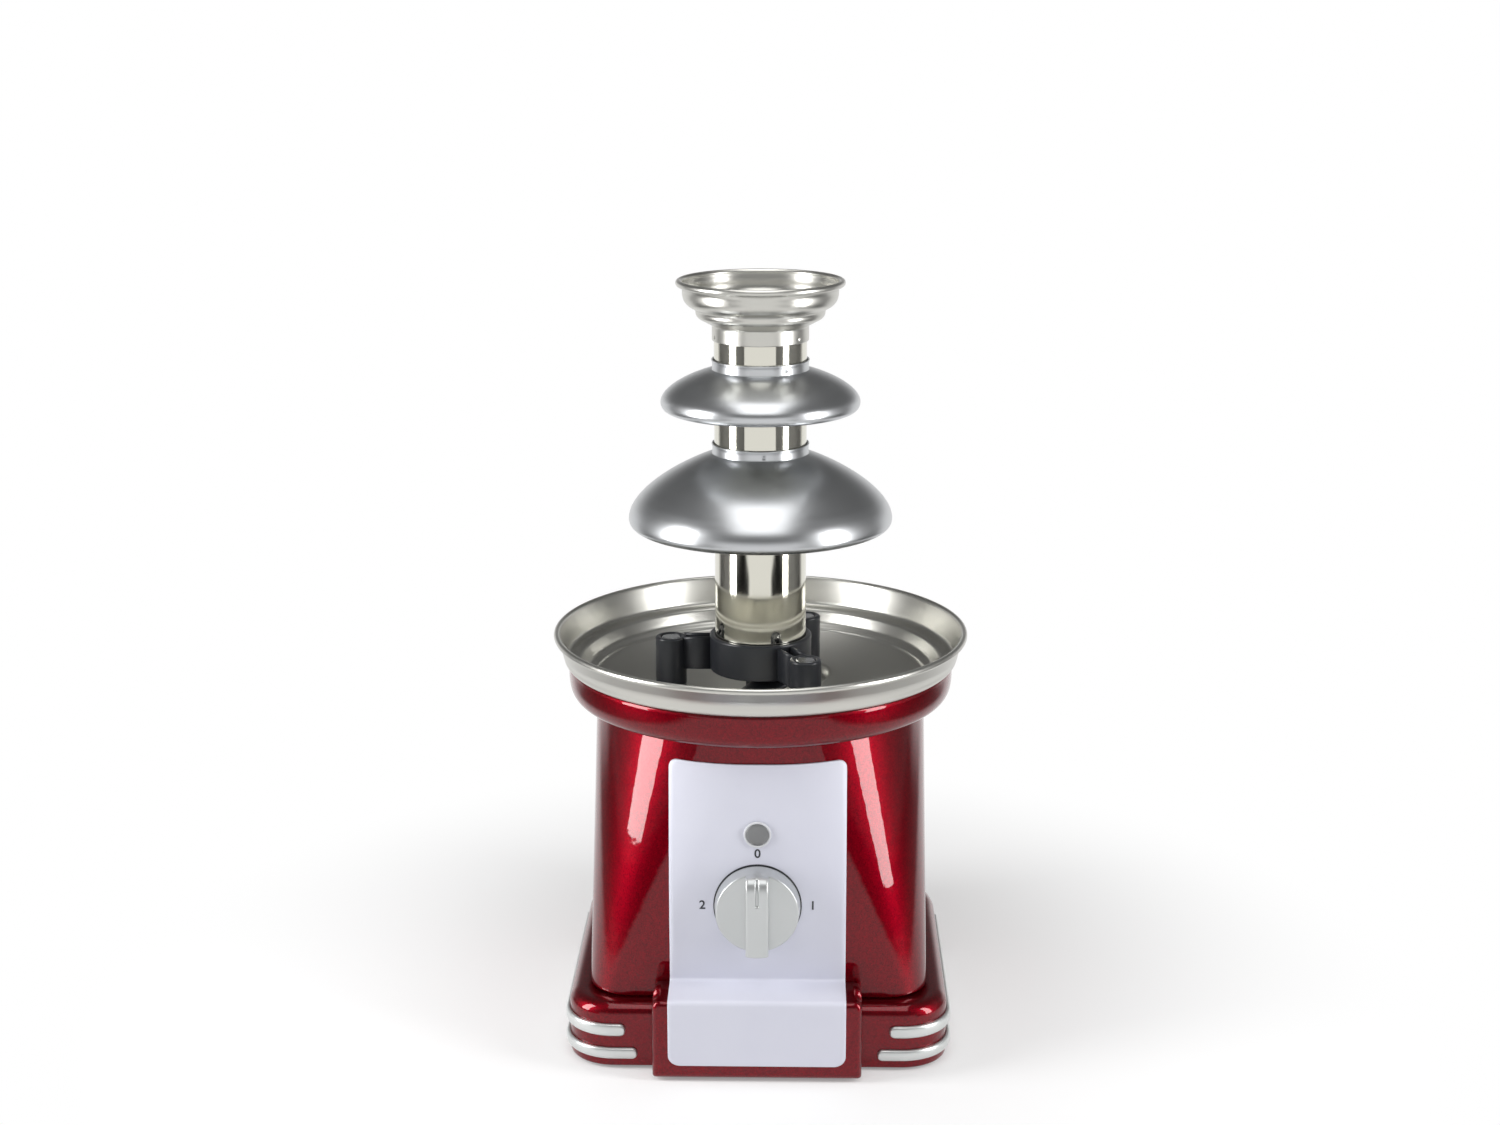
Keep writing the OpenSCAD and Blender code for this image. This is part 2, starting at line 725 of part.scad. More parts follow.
module control_panel() {
    half = panel_w / 2;
    y_in = box_front_y - seat_gap;
    y_out = y_in - panel_t;
    z_in = z_box_top + seat_gap;
    z_out = z_in + panel_t;
    y_back = min(face_y(z_in), face_y(z_out)) - seat_gap;
    color("#d0d1dd") difference() {
        union() {
            intersection() {
                difference() {
                    body_loft(seat_gap + panel_t, 0);
                    body_loft(seat_gap, cut);
                }
                translate([0, -body_d / 4, 0]) rotate([90, 0, 0]) linear_extrude(body_d / 2) difference() {
                    rounded_rect([-half, z_in - 2 * body_front_r], [half, z_panel_top], 4);
                    translate([-body_w, 0]) square([2 * body_w, z_in]);
                }
            }
            translate([-half, y_out, z_in]) cube([panel_w, y_back - y_out, panel_t]);
            translate([0, y_in, 0]) rotate([90, 0, 0]) linear_extrude(panel_t) difference() {
                rounded_rect([-half, z_panel_foot], [half, z_out + body_front_r], 5);
                translate([-body_w, z_out]) square([2 * body_w, body_h]);
            }
        }
        on_panel(knob_z) translate([0, 0, -panel_t - cut])
            cylinder(d = switch_neck_d + 2 * seat_gap, h = panel_t + 2 * cut);
        on_panel(lamp_z) translate([0, 0, -panel_t - cut])
            cylinder(d = lamp_neck_d + 2 * seat_gap, h = panel_t + 2 * cut);
    }
}

module lamp_bezel() {
    color("#dcdde2") on_panel(lamp_z) difference() {
        union() {
            translate([0, 0, -lamp_body_l]) cylinder(d = lamp_neck_d, h = lamp_body_l + 0.5);
            translate([0, 0, 2 * seat_gap]) cylinder(d = lamp_d + 2 * lamp_rim, h = 0.9);
        }
        translate([0, 0, 0.5]) cylinder(d = lamp_d + 2 * seat_gap, h = 2 * cut);
    }
}

module lamp_lens() {
    r = lamp_d / 2;
    dome = bezier([r, 1], [0.8 * r, 1.7], [0.4 * r, 1.9], [0, 1.9], 6);
    color("#8d9096") on_panel(lamp_z) rotate_extrude()
        polygon(concat([[0, 0.5 + seat_gap], [r, 0.5 + seat_gap]], dome));
}

module rotary_switch() {
    back = panel_t + wall_t + seat_gap;
    color("#e6e2d6") on_panel(knob_z) difference() {
        union() {
            translate([-switch_w / 2, -switch_h / 2, -back - switch_depth])
                cube([switch_w, switch_h, switch_depth]);
            translate([0, 0, -back - cut]) cylinder(d = switch_neck_d, h = back + cut + switch_nut_h + 0.4);
            for (x = [-8, 0, 8]) translate([x - tab_w / 2, 4, -back - switch_depth - tab_l])
                cube([tab_w, tab_t, tab_l + cut]);
        }
        translate([0, 0, -back - switch_depth / 2]) cylinder(d = spindle_d + 2 * run_gap, h = switch_depth);
    }
}

module switch_nut() {
    color("#b9bcc0") on_panel(knob_z) translate([0, 0, 2 * seat_gap])
        hex_nut(switch_nut_flats, switch_nut_h, switch_neck_d + 2 * seat_gap);
}

module switch_spindle() {
    reach = knob_gap + knob_disc_t + knob_bar_h / 2;
    low = -panel_t - wall_t - switch_depth / 2 + rest_gap;
    color("#d8dadc") on_panel(knob_z) {
        translate([0, 0, low]) cylinder(d = spindle_d, h = switch_nut_h + 0.6 - low);
        translate([0, 0, low]) linear_extrude(reach - low) flatted(spindle_d, spindle_flat, 1);
    }
}

// Side view of the grip bar: X runs along the bar, Y out of the disc
module bar_side() {
    r = knob_d / 2;
    top = knob_disc_t + knob_bar_h;
    nose = bezier([0.25 * r, top], [0.7 * r, top], [0.95 * r, 0.8 * top], [r + cut, knob_disc_t + 1], 10);
    polygon(concat([[-r - cut, 1]], [[-r - cut, top - 1.5], [-r + 1.5, top]], nose, [[r + cut, 1]]));
}

module grip_bar(w) {
    rotate([90, 0, 90]) linear_extrude(w, center = true) bar_side();
}

module knob() {
    r = knob_d / 2;
    hub_r = spindle_d / 2 + 3;
    color("#c6c9cb") on_panel(knob_z) translate([0, 0, knob_gap]) difference() {
        union() {
            cylinder(r1 = r, r2 = r - knob_taper, h = knob_disc_t);
            intersection() {
                grip_bar(knob_bar_w);
                cylinder(r = r - 0.2, h = 4 * knob_disc_t);
            }
        }
        difference() {
            translate([-groove_w / 2, 0.3 * r, knob_disc_t]) cube([groove_w, r, 2 * knob_bar_h]);
            translate([0, 0, -groove_deep]) grip_bar(knob_bar_w);
        }
        difference() {
            translate([0, 0, -cut]) cylinder(r = r - knob_wall, h = knob_disc_t - knob_wall + cut);
            translate([0, 0, switch_nut_h + 1]) cylinder(r = hub_r, h = knob_disc_t);
        }
        translate([0, 0, -cut]) linear_extrude(knob_disc_t + knob_bar_h / 2 + cut + seat_gap)
            flatted(spindle_d + 2 * seat_gap, spindle_flat + 2 * seat_gap, 1);
    }
}

// Bowl

// Point of the stepped shoulder, at shares of its width and height
function shoulder(u, v) = [dish_r + u * shoulder_w, z_dish_edge + v * shoulder_rise];
function bowl_path() = concat(
    [[bush_d / 2 + seat_gap, z_floor]],
    dish_points(),
    [shoulder(0.05, 0.13), shoulder(0.29, 0.29)],
    bezier(shoulder(0.4, 0.53), shoulder(0.44, 0.85), shoulder(0.54, 1), shoulder(0.73, 1), 5),
    [shoulder(0.96, 1), [wall_foot_r + 0.3, z_ledge + 0.7]],
    [[wall_top_r, z_rim - bead_r]]
);

module bowl() {
    path = bowl_path();
    z_pad_foot = z_pad - sheet_t;
    color("#c9cbcd") difference() {
        union() {
            rotate_extrude() {
                polygon(sheet(path, -sheet_t));
                translate([bowl_r - bead_r, z_rim - bead_r]) circle(bead_r);
            }
            intersection() {
                rotate_extrude()
                    polygon(concat([[0, z_floor]], dish_points(), [[dish_r, z_pad_foot], [0, z_pad_foot]]));
                bores(pins_at(), z_pad_foot, z_ledge, pad_d + 2 * sheet_t);
            }
        }
        bores(pins_at(), z_pad, z_ledge, pad_d);
        bores(pins_at(), z_pad_foot - cut, z_pad + cut, stud_d + 2 * seat_gap);
    }
}

module locating_pins() {
    low = z_pad - sheet_t - nut_h - 1;
    edge = 1;
    color("#cfd1d3") for (p = pins_at()) translate(p) {
        translate([0, 0, low]) cylinder(d = stud_d, h = z_shoulder - low);
        translate([0, 0, z_shoulder - shoulder_h]) cylinder(d = shoulder_d, h = shoulder_h);
        translate([0, 0, z_shoulder]) cylinder(d = pin_d, h = pin_l - edge);
        translate([0, 0, z_shoulder + pin_l - edge]) cylinder(d1 = pin_d, d2 = pin_d - 2 * edge, h = edge);
    }
}

module pin_nuts() {
    color("#b9bcc0") for (p = pins_at()) translate([p[0], p[1], z_pad - sheet_t - seat_gap - nut_h])
        hex_nut(stud_nut_flats, nut_h, stud_d + 2 * seat_gap);
}

module bowl_bush() {
    color("#b08d4a") difference() {
        union() {
            translate([0, 0, z_floor + seat_gap]) cylinder(d = bush_flange_d, h = bush_flange_t);
            translate([0, 0, z_flange_top - bush_l]) cylinder(d = bush_d, h = bush_l);
        }
        translate([0, 0, z_flange_top - bush_l - cut])
            cylinder(d = shaft_d + 2 * run_gap, h = bush_l + 2 * cut);
    }
}

module bush_nut() {
    color("#b9bcc0") translate([0, 0, z_floor - sheet_t - seat_gap - nut_h])
        hex_nut(bush_nut_flats, nut_h, bush_d + 2 * seat_gap);
}

module shaft_seal() {
    color("#8a2f22") translate([0, 0, z_flange_top + seat_gap]) difference() {
        cylinder(d1 = seal_d, d2 = seal_d - 4, h = seal_t);
        translate([0, 0, -cut]) cylinder(d = shaft_d + 2 * run_gap, h = seal_t + 2 * cut);
    }
}

// Heating

module heater_ring() {
    slope = dish_slope(heater_r);
    drop = sheet_t + heater_tube_d / 2 + 3 * seat_gap;
    r = heater_r + drop * sin(slope);
    z = dish_z(heater_r) - drop * cos(slope);
    color("#6c6a68") {
        rotate(90 + heater_gap_angle / 2) rotate_extrude(angle = 360 - heater_gap_angle)
            translate([r, z]) circle(d = heater_tube_d);
        for (side = [-1, 1]) rotate(90 + side * heater_gap_angle / 2) translate([r, 0, z - heater_end_l])
            cylinder(d = heater_tube_d - 2, h = heater_end_l);
    }
}

module thermostat() {
    top = dish_z(sensor_r - thermostat_d / 2) - sheet_t - 2 * seat_gap;
    color("#d9d4c4") rotate(240) translate([sensor_r, 0, top]) {
        translate([0, 0, -thermostat_h]) cylinder(d = thermostat_d, h = thermostat_h);
        for (y = [-4, 4]) translate([-tab_w / 2, y - tab_t / 2, -thermostat_h - tab_l / 2])
            cube([tab_w, tab_t, tab_l / 2 + cut]);
    }
}

module thermal_fuse() {
    r = fuse_d / 2;
    color("#d8d3c8") translate([sensor_r, 0, dish_z(sensor_r - r) - sheet_t - 2 * seat_gap - r])
        rotate([90, 0, 0]) {
            cylinder(d = fuse_d, h = fuse_l, center = true);
            cylinder(d = fuse_d / 5, h = 2 * fuse_l, center = true);
        }
}

module heat_shield() {
    arm_w = 0.7 * ear_d;
    color("#b4b6b8") translate([0, 0, z_shield + seat_gap]) linear_extrude(shield_t) difference() {
        union() {
            circle(body_top_r - 2 * wall_t);
            for (p = shield_bosses()) {
                translate(p) circle(d = ear_d);
                rotate(atan2(p[1], p[0])) translate([0, -arm_w / 2]) square([norm(p), arm_w]);
            }
        }
        circle(d = shaft_d + shaft_room);
        for (p = shield_bosses()) translate(p) circle(d = screw_hole_d);
        for (a = [45 : 90 : 315]) rotate(a) translate([shield_vent_r, 0]) circle(d = shield_vent_d);
    }
}

module shield_screws() {
    color("#b9bcc0") screws(shield_bosses(), z_shield + shield_t + 2 * seat_gap, screw_grip, true);
}

// Drive

module gear(teeth, w) {
    linear_extrude(w) polygon(gear_points(teeth));
}

module chassis_plate() {
    side = [plate_side, 2];
    color("#a9adb1") translate([0, 0, z_plate]) linear_extrude(plate_t - seat_gap) difference() {
        rounded_rect(case_low - side, case_high + side, case_round);
        translate(motor_at) circle(d = motor_boss_d + 4 * seat_gap);
        for (p = motor_screws_at()) translate(p) circle(d = screw_hole_d);
        for (p = posts()) translate(p) circle(d = screw_hole_d);
        for (p = case_bosses()) translate(p) circle(d = close_hole_d);
    }
}

module chassis_screws() {
    color("#b9bcc0") screws(posts(), z_case, screw_grip, true);
}

module case_plan(inset) {
    rounded_rect(case_low + inset * [1, 1], case_high - inset * [1, 1], case_round - inset);
}

module gearbox_case() {
    h = z_lid - z_case;
    color("#d9d9d2") difference() {
        translate([0, 0, z_case]) union() {
            linear_extrude(case_floor) case_plan(0);
            linear_extrude(h) difference() {
                case_plan(0);
                case_plan(case_wall);
            }
            bores(case_bosses(), 0, h, 2 * case_boss_in - 2);
        }
        translate([0, 0, z_case - cut]) cylinder(d = shaft_d + 2 * run_gap, h = case_floor + 2 * cut);
        translate(concat(idler_at, [z_case - cut]))
            cylinder(d = idler_pin_d + 2 * seat_gap, h = case_floor + 2 * cut);
        translate(concat(motor_at, [z_case - cut])) cylinder(d = motor_boss_d, h = case_floor + 2 * cut);
        bores(motor_screws_at(), z_case - cut, z_case + case_floor + cut, head_hole_d);
        bores(case_bosses(), z_case - cut, z_lid + cut, close_hole_d);
    }
}

module gearbox_lid() {
    color("#d9d9d2") translate([0, 0, z_lid + seat_gap]) linear_extrude(lid_t) difference() {
        case_plan(0);
        circle(d = lid_bush_d + 2 * seat_gap);
        translate(idler_at) circle(d = idler_pin_d + 2 * seat_gap);
        for (p = case_bosses()) translate(p) circle(d = close_hole_d);
    }
}

module lid_screws() {
    top = z_lid + lid_t + 2 * seat_gap;
    color("#b9bcc0") screws(case_bosses(), top, top - z_plate, true);
}

module lid_bush() {
    color("#b08d4a") translate([0, 0, z_lid + 2 * seat_gap]) {
        ring(lid_bush_d, shaft_d + 2 * run_gap, lid_t);
        translate([0, 0, lid_t]) ring(lid_bush_d + 4, shaft_d + 2 * run_gap, lid_flange_t);
    }
}

module motor_can() {
    top = z_plate - seat_gap;
    color("#8f9499") difference() {
        translate(concat(motor_at, [top])) {
            translate([0, 0, -motor_l]) cylinder(d = motor_d, h = motor_l);
            translate([0, 0, -cut]) cylinder(d = motor_boss_d, h = motor_boss_h + cut);
            translate([0, 0, -motor_l - motor_tail_h]) cylinder(d = motor_tail_d, h = motor_tail_h + cut);
        }
        bores([motor_at], top - motor_l / 2, top + motor_l / 2, motor_shaft_d + 2 * run_gap);
        bores(motor_screws_at(), top - motor_thread_l, top + cut, thread_d);
    }
}

module motor_screws() {
    color("#b9bcc0") screws(motor_screws_at(), z_case, plate_t + motor_thread_l - cut, true);
}

module motor_shaft() {
    low = z_plate - motor_l / 2 + rest_gap;
    color("#d8dadc") translate(concat(motor_at, [low]))
        cylinder(d = motor_shaft_d, h = z_low_gear + gear_w + 0.5 - low);
}

module motor_pinion() {
    turn = mesh_turn(0, motor_angle);
    color("#b08d4a") translate(concat(motor_at, [z_low_gear])) rotate(turn) difference() {
        gear(pinion_teeth, gear_w);
        translate([0, 0, -cut]) cylinder(d = motor_shaft_d + seat_gap, h = gear_w + 2 * cut);
    }
}

module idler_pin() {
    color("#d8dadc") translate(concat(idler_at, [z_case + seat_gap]))
        cylinder(d = idler_pin_d, h = z_lid + lid_t - z_case - seat_gap);
}

module idler_gear() {
    turn = mesh_turn(0, idler_angle);
    low = z_case + case_floor + float_gap;
    color("#ece8dc") translate(concat(idler_at, [0])) difference() {
        union() {
            translate([0, 0, z_low_gear]) gear(wheel_teeth, gear_w);
            translate([0, 0, z_low_gear + gear_w - seat_gap]) rotate(turn)
                gear(pinion_teeth, gear_w + gear_gap + seat_gap);
            translate([0, 0, low]) cylinder(r = pinion_r, h = z_low_gear - low + cut);
        }
        translate([0, 0, low - cut])
            cylinder(d = idler_pin_d + 2 * run_gap, h = z_lid - low + cut);
    }
}

module drive_shaft() {
    low = z_case + float_gap;
    color("#7f8387") {
        translate([0, 0, low]) cylinder(d = shaft_d, h = z_shaft_shoulder - low);
        translate([0, 0, z_shaft_shoulder - cut]) linear_extrude(stub_l + cut)
            flatted(stub_d, stub_flats, 2);
    }
}

module output_gear() {
    color("#ece8dc") translate([0, 0, z_high_gear]) difference() {
        union() {
            gear(wheel_teeth, gear_w);
            translate([0, 0, -gear_gap - gear_w]) cylinder(d = shaft_d + 6, h = 2 * gear_w);
        }
        translate([0, 0, -2 * gear_w]) cylinder(d = shaft_d + seat_gap, h = 4 * gear_w);
    }
}

module shaft_clip() {
    color("#b9bcc0") translate([0, 0, z_lid + lid_t + lid_flange_t + rest_gap + 2 * seat_gap])
        ring(lid_bush_d, shaft_d + seat_gap, clip_t);
}

// Mains connection

module terminal_block() {
    slot_w = 1.2;
    slot_h = 4;
    wire_z = 5;
    color("#e8e6df") translate([-block_w / 2, block_y, z_cover_top]) difference() {
        cube([block_w, block_d, block_h]);
        for (i = [0.5 : 2.5]) translate([block_w * i / 3, 0, 0]) {
            translate([0, block_d / 2, wire_z - 2]) cylinder(d = 5, h = block_h);
            translate([0, -cut, wire_z]) rotate([-90, 0, 0]) cylinder(d = 3.4, h = block_d + 2 * cut);
        }
        for (i = [1, 2]) translate([block_w * i / 3 - slot_w / 2, -cut, block_h - slot_h])
            cube([slot_w, block_d + 2 * cut, slot_h + cut]);
    }
}

module cord_gland() {
    color("#1c1c1e") translate([0, plinth_d / 2 + seat_gap, gland_z]) rotate([-90, 0, 0]) difference() {
        union() {
            cylinder(d = gland_flange_d, h = gland_flange_t);
            translate([0, 0, -gland_l]) cylinder(d = gland_d, h = gland_l + cut);
        }
        translate([0, 0, -gland_l - cut])
            cylinder(d = gland_bore_d, h = gland_l + gland_flange_t + 2 * cut);
    }
}

// Tower

module tower_hub() {
    edge = 0.8;
    ring_r = hub_d / 2;
    arm_h = hub_h - 1.2;
    arm_in = ring_r - 2;
    color("#33353a") difference() {
        union() {
            translate([0, 0, z_hub]) cylinder(r = ring_r, h = hub_h - edge);
            translate([0, 0, z_hub + hub_h - edge]) cylinder(r1 = ring_r, r2 = ring_r - edge, h = edge);
            for (a = pin_angles) {
                translate(concat(pin_at(a), [z_tower])) cylinder(d = leg_d, h = leg_h - edge);
                translate(concat(pin_at(a), [z_tower + leg_h - edge]))
                    cylinder(d1 = leg_d, d2 = leg_d - 2 * edge, h = edge);
                rotate(a) {
                    for (side = [-1, 1])
                        translate([arm_in, side * (arm_w - web_t) / 2 - web_t / 2, z_hub])
                            cube([pin_circle_r - arm_in, web_t, arm_h]);
                    translate([arm_in, -arm_w / 2, z_hub]) cube([pin_circle_r - arm_in, arm_w, web_t]);
                }
            }
        }
        translate([0, 0, z_hub + hub_lip]) cylinder(r = tube_r + seat_gap, h = hub_h);
        translate([0, 0, z_hub - cut]) cylinder(r = tube_r - tube_t, h = hub_h);
        bores(pins_at(), z_tower - cut, z_tower + leg_h + cut, leg_bore_d);
    }
}

module tower_tube() {
    low = z_hub + hub_lip + seat_gap;
    color("#d3d3cd") translate([0, 0, low]) ring(tube_d, tube_d - 2 * tube_t, z_tube_top - low);
}

// Spun tier: curled rim of radius r at height z, dome rising to a collar on the tube
module tier(r, z, rise, rim_pull, top_pull, top_slope) {
    curl = arc([r - rim_curl_r, z], rim_curl_r, -100, -10, 5);
    top = [collar_r, z + rise];
    dome = bezier([r, z], [r, z + rim_pull], top + top_pull * [cos(top_slope), -sin(top_slope)], top, 16);
    path = concat(curl, dome, [top + [0, tier_collar_h]]);
    rotate_extrude() polygon(sheet(path, tube_t));
}

module lower_tier() {
    color("#bfc1c3") tier(
        r = lower_tier_d / 2, z = z_tower + lower_tier_z, rise = lower_tier_rise,
        rim_pull = 11, top_pull = 20, top_slope = 20
    );
}

module upper_tier() {
    color("#bfc1c3") tier(
        r = upper_tier_d / 2, z = z_tower + upper_tier_z, rise = upper_tier_rise,
        rim_pull = 7, top_pull = 8, top_slope = 12
    );
}

module crown_bowl() {
    r = crown_d / 2;
    cup_r = r - 2 * crown_bead_r;
    step_r = cup_r - 6.2;
    neck_z = -crown_depth;
    lip_z = -1.5 * crown_bead_r;
    path = concat(
        [[collar_r, neck_z - crown_collar], [collar_r, neck_z - 0.5]],
        bezier([step_r - 2.6, -18.6], [step_r - 1.2, -17.8], [step_r, -16.6], [step_r, -15], 5),
        bezier([step_r + 0.6, -13.4], [cup_r - 2, -12.2], [cup_r, -10], [cup_r, -6], 6),
        [[cup_r + 0.2, lip_z]]
    );
    color("#c9cbcd") translate([0, 0, z_crown]) rotate_extrude() {
        polygon(sheet(path, tube_t));
        translate([r, 0] - crown_bead_r * [1, 1]) circle(crown_bead_r);
        polygon([[cup_r - 0.6, lip_z], [cup_r + 0.2, lip_z], [r - 1, -1.4], [r - 2, -0.8]]);
    }
}

// Auger

// Half of the flight's angle at a share of the way from the core to its edge
function flight_half(share) = flight_root_angle * (1 - share) + flight_tip_angle * share;
function flight_points() =
    let (core_r = core_d / 2, reach = (auger_d - core_d) / 2)
    let (shares = [for (i = [0 : flight_steps]) i / flight_steps])
    concat(
        [for (s = shares) polar(core_r + reach * s, -flight_half(s))],
        [for (i = [flight_steps : -1 : 0]) polar(core_r + reach * shares[i], flight_half(shares[i]))],
        [for (i = [1 : core_steps - 1])
            polar(core_r, flight_root_angle + (360 - 2 * flight_root_angle) * i / core_steps)]
    );

module auger() {
    color("#2f3135") translate([0, 0, z_auger]) difference() {
        rotate(auger_phase)
            linear_extrude(auger_l, twist = -auger_turn, slices = auger_slices, segments = 1)
                polygon(flight_points());
        translate([0, 0, -cut]) linear_extrude(stub_l + cut + socket_end)
            flatted(stub_d + 2 * socket_gap, stub_flats + 2 * socket_gap, 2);
    }
}

rubber_feet();
bottom_cover();
base_screws();
plinth();
front_box();
body_shell();
bowl_collar();
trim_upper_left();
trim_upper_right();
trim_lower_left();
trim_lower_right();
control_panel();
lamp_bezel();
lamp_lens();
rotary_switch();
switch_nut();
switch_spindle();
knob();
bowl();
locating_pins();
pin_nuts();
bowl_bush();
bush_nut();
shaft_seal();
heater_ring();
thermostat();
thermal_fuse();
heat_shield();
shield_screws();
chassis_plate();
chassis_screws();
gearbox_case();
gearbox_lid();
lid_screws();
lid_bush();
motor_can();
motor_screws();
motor_shaft();
motor_pinion();
idler_pin();
idler_gear();
drive_shaft();
output_gear();
shaft_clip();
terminal_block();
cord_gland();
tower_hub();
tower_tube();
lower_tier();
upper_tier();
crown_bowl();
auger();
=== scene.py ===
# %% [markdown]
# # A chocolate fountain, dressed
# The solids of the fountain arrive as a fixed frame: every node is already in its place, in metres.
# This lesson gives them their surfaces. Where a solid is only a plain or faceted stand-in, a smooth
# surface worked out with numpy takes its place; where it is right, it keeps its shape and gets a finish.

# %% Frame
import math

import bmesh
import bpy
import numpy as np
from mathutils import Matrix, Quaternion, Vector


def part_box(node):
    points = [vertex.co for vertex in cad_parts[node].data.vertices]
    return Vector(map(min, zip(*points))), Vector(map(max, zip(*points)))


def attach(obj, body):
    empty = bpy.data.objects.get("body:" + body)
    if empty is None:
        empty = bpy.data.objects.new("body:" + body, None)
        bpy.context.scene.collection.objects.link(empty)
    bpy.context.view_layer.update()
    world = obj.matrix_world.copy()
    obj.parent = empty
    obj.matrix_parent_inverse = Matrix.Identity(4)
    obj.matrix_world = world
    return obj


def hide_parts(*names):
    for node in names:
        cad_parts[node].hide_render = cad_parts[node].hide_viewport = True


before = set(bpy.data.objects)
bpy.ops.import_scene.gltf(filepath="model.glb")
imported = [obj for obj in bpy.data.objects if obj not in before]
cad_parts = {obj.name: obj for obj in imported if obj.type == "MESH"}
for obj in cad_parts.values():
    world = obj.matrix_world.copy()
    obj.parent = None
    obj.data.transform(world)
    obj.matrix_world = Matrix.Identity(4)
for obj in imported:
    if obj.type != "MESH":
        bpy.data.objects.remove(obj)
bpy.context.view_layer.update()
MM = 0.001


def corners(node):
    """Lowest and highest corner of a CAD node at rest, in millimetres."""
    return tuple(np.array(corner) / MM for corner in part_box(node))


# %% [markdown]
# ## Camera
# A camera can be aimed with a lens shift or by turning it. Other views keep the shift, so this one is only
# turned: it looks at a point on the drive axis, then pans and tilts until that point falls on its pixel.

# %% Camera
PHOTO_SIZE = (1500, 1125)
FOCAL_PX = 2266
SENSOR_MM = 36
TARGET = Vector((0, 0, 190)) * MM
TARGET_PX = (760.5, 627.0)
DISTANCE = 1100 * MM
ELEVATION = math.radians(16.3)
AZIMUTH = math.radians(1.0)

scene = bpy.context.scene
back = Vector((
    math.sin(AZIMUTH) * math.cos(ELEVATION), -math.cos(AZIMUTH) * math.cos(ELEVATION), math.sin(ELEVATION)
))
pan, tilt = (math.atan((px - size / 2) / FOCAL_PX) for px, size in zip(TARGET_PX, PHOTO_SIZE))
camera = bpy.data.objects.new("camera", bpy.data.cameras.new("camera"))
camera.data.sensor_width = SENSOR_MM
camera.data.lens = SENSOR_MM * FOCAL_PX / PHOTO_SIZE[0]
camera.location = TARGET + back * DISTANCE
camera.rotation_mode = "QUATERNION"
camera.rotation_quaternion = (
    (-back).to_track_quat("-Z", "Y") @ Quaternion((0, 1, 0), pan) @ Quaternion((1, 0, 0), tilt)
)
scene.collection.objects.link(camera)
scene.camera = camera
print(f"camera: {camera.data.lens:.1f} mm lens at {[round(v, 3) for v in camera.location]} m")

# %% [markdown]
# ## Colours and nodes
# Colours are written as sRGB hex values, as a paint chart gives them, and Blender wants linear light.
# A material is a small graph, so one function adds a node, sets its values and joins its inputs. A few more
# make the steps that return in every graph: a sum, a ramp, a noise, a colour between two and a relief.


# %% Colour and node helpers
def paint(hex_colour):
    """Linear RGBA of an sRGB hex value: c / 12.92 below 0.04045, else ((c + 0.055) / 1.055) ** 2.4."""
    c = np.array([int(hex_colour[i:i + 2], 16) for i in (1, 3, 5)]) / 255
    return (*np.where(c < 0.04045, c / 12.92, ((c + 0.055) / 1.055) ** 2.4), 1.0)


def add(tree, kind, inputs=None, **settings):
    """Adds one shader node. An input is a value for its socket, or another node's output to join it to."""
    node = tree.nodes.new("ShaderNode" + kind)
    for key, value in settings.items():
        setattr(node, key, value)
    for key, value in (inputs or {}).items():
        if isinstance(value, bpy.types.NodeSocket):
            tree.links.new(value, node.inputs[key])
        else:
            node.inputs[key].default_value = value
    return node


def new_finish(name, **sockets):
    """A material whose Principled shader has these constant values, with its node tree and shader."""
    material = bpy.data.materials.new(name)
    material.use_nodes = True
    shader = material.node_tree.nodes["Principled BSDF"]
    for key, value in sockets.items():
        shader.inputs[key.replace("_", " ")].default_value = value
    print("finish:", name)
    return material, material.node_tree, shader


def per_metre(size_mm):
    """Texture scale at which one cell of the pattern is size_mm wide."""
    return 1 / (size_mm * MM)


def combine(tree, operation, a, b=0.0):
    """Result of one arithmetic step on the values a and b."""
    return add(tree, "Math", {0: a, 1: b}, operation=operation).outputs["Value"]


def ramp(tree, value, low, high, start=0.0, end=1.0, kind="SMOOTHSTEP"):
    """Runs from start to end while value runs from low to high, and stays level beyond."""
    ends = {"Value": value, "From Min": low, "From Max": high, "To Min": start, "To Max": end}
    return add(tree, "MapRange", ends, interpolation_type=kind).outputs["Result"]


def noise(tree, place, size_mm, detail=2.0):
    """Value of a noise whose features are size_mm wide."""
    inputs = {"Vector": place, "Scale": per_metre(size_mm), "Detail": detail}
    return add(tree, "TexNoise", inputs).outputs["Fac"]


def two_tone(tree, shader, value, colour, other):
    """Base colour that runs from one colour to the other with value."""
    tone = add(tree, "ValToRGB", {"Fac": value})
    for stop, hex_colour in zip(tone.color_ramp.elements, (colour, other)):
        stop.color = paint(hex_colour)
    tree.links.new(tone.outputs["Color"], shader.inputs["Base Color"])


def emboss(tree, shader, socket, height, strength, depth_mm):
    """Bends a normal of the shader as a relief of that height and depth does."""
    bump = add(tree, "Bump", {"Height": height, "Strength": strength, "Distance": depth_mm * MM})
    tree.links.new(bump.outputs["Normal"], shader.inputs[socket])


# %% [markdown]
# ## Candy lacquer
# The base is moulded ABS with a candy finish: bright metal flake, a transparent red over it and a hard clear
# coat. The eye sees deep red with glints in the flake and a sharp reflection on top. So the shader is a red
# metal whose flakes tilt a little, under a coat that is almost flat and only waves as orange peel does.

# %% Candy lacquer
FLAKE_MM = 0.6  # real flake is about 0.1 mm and would not show
PEEL_MM = 6.0

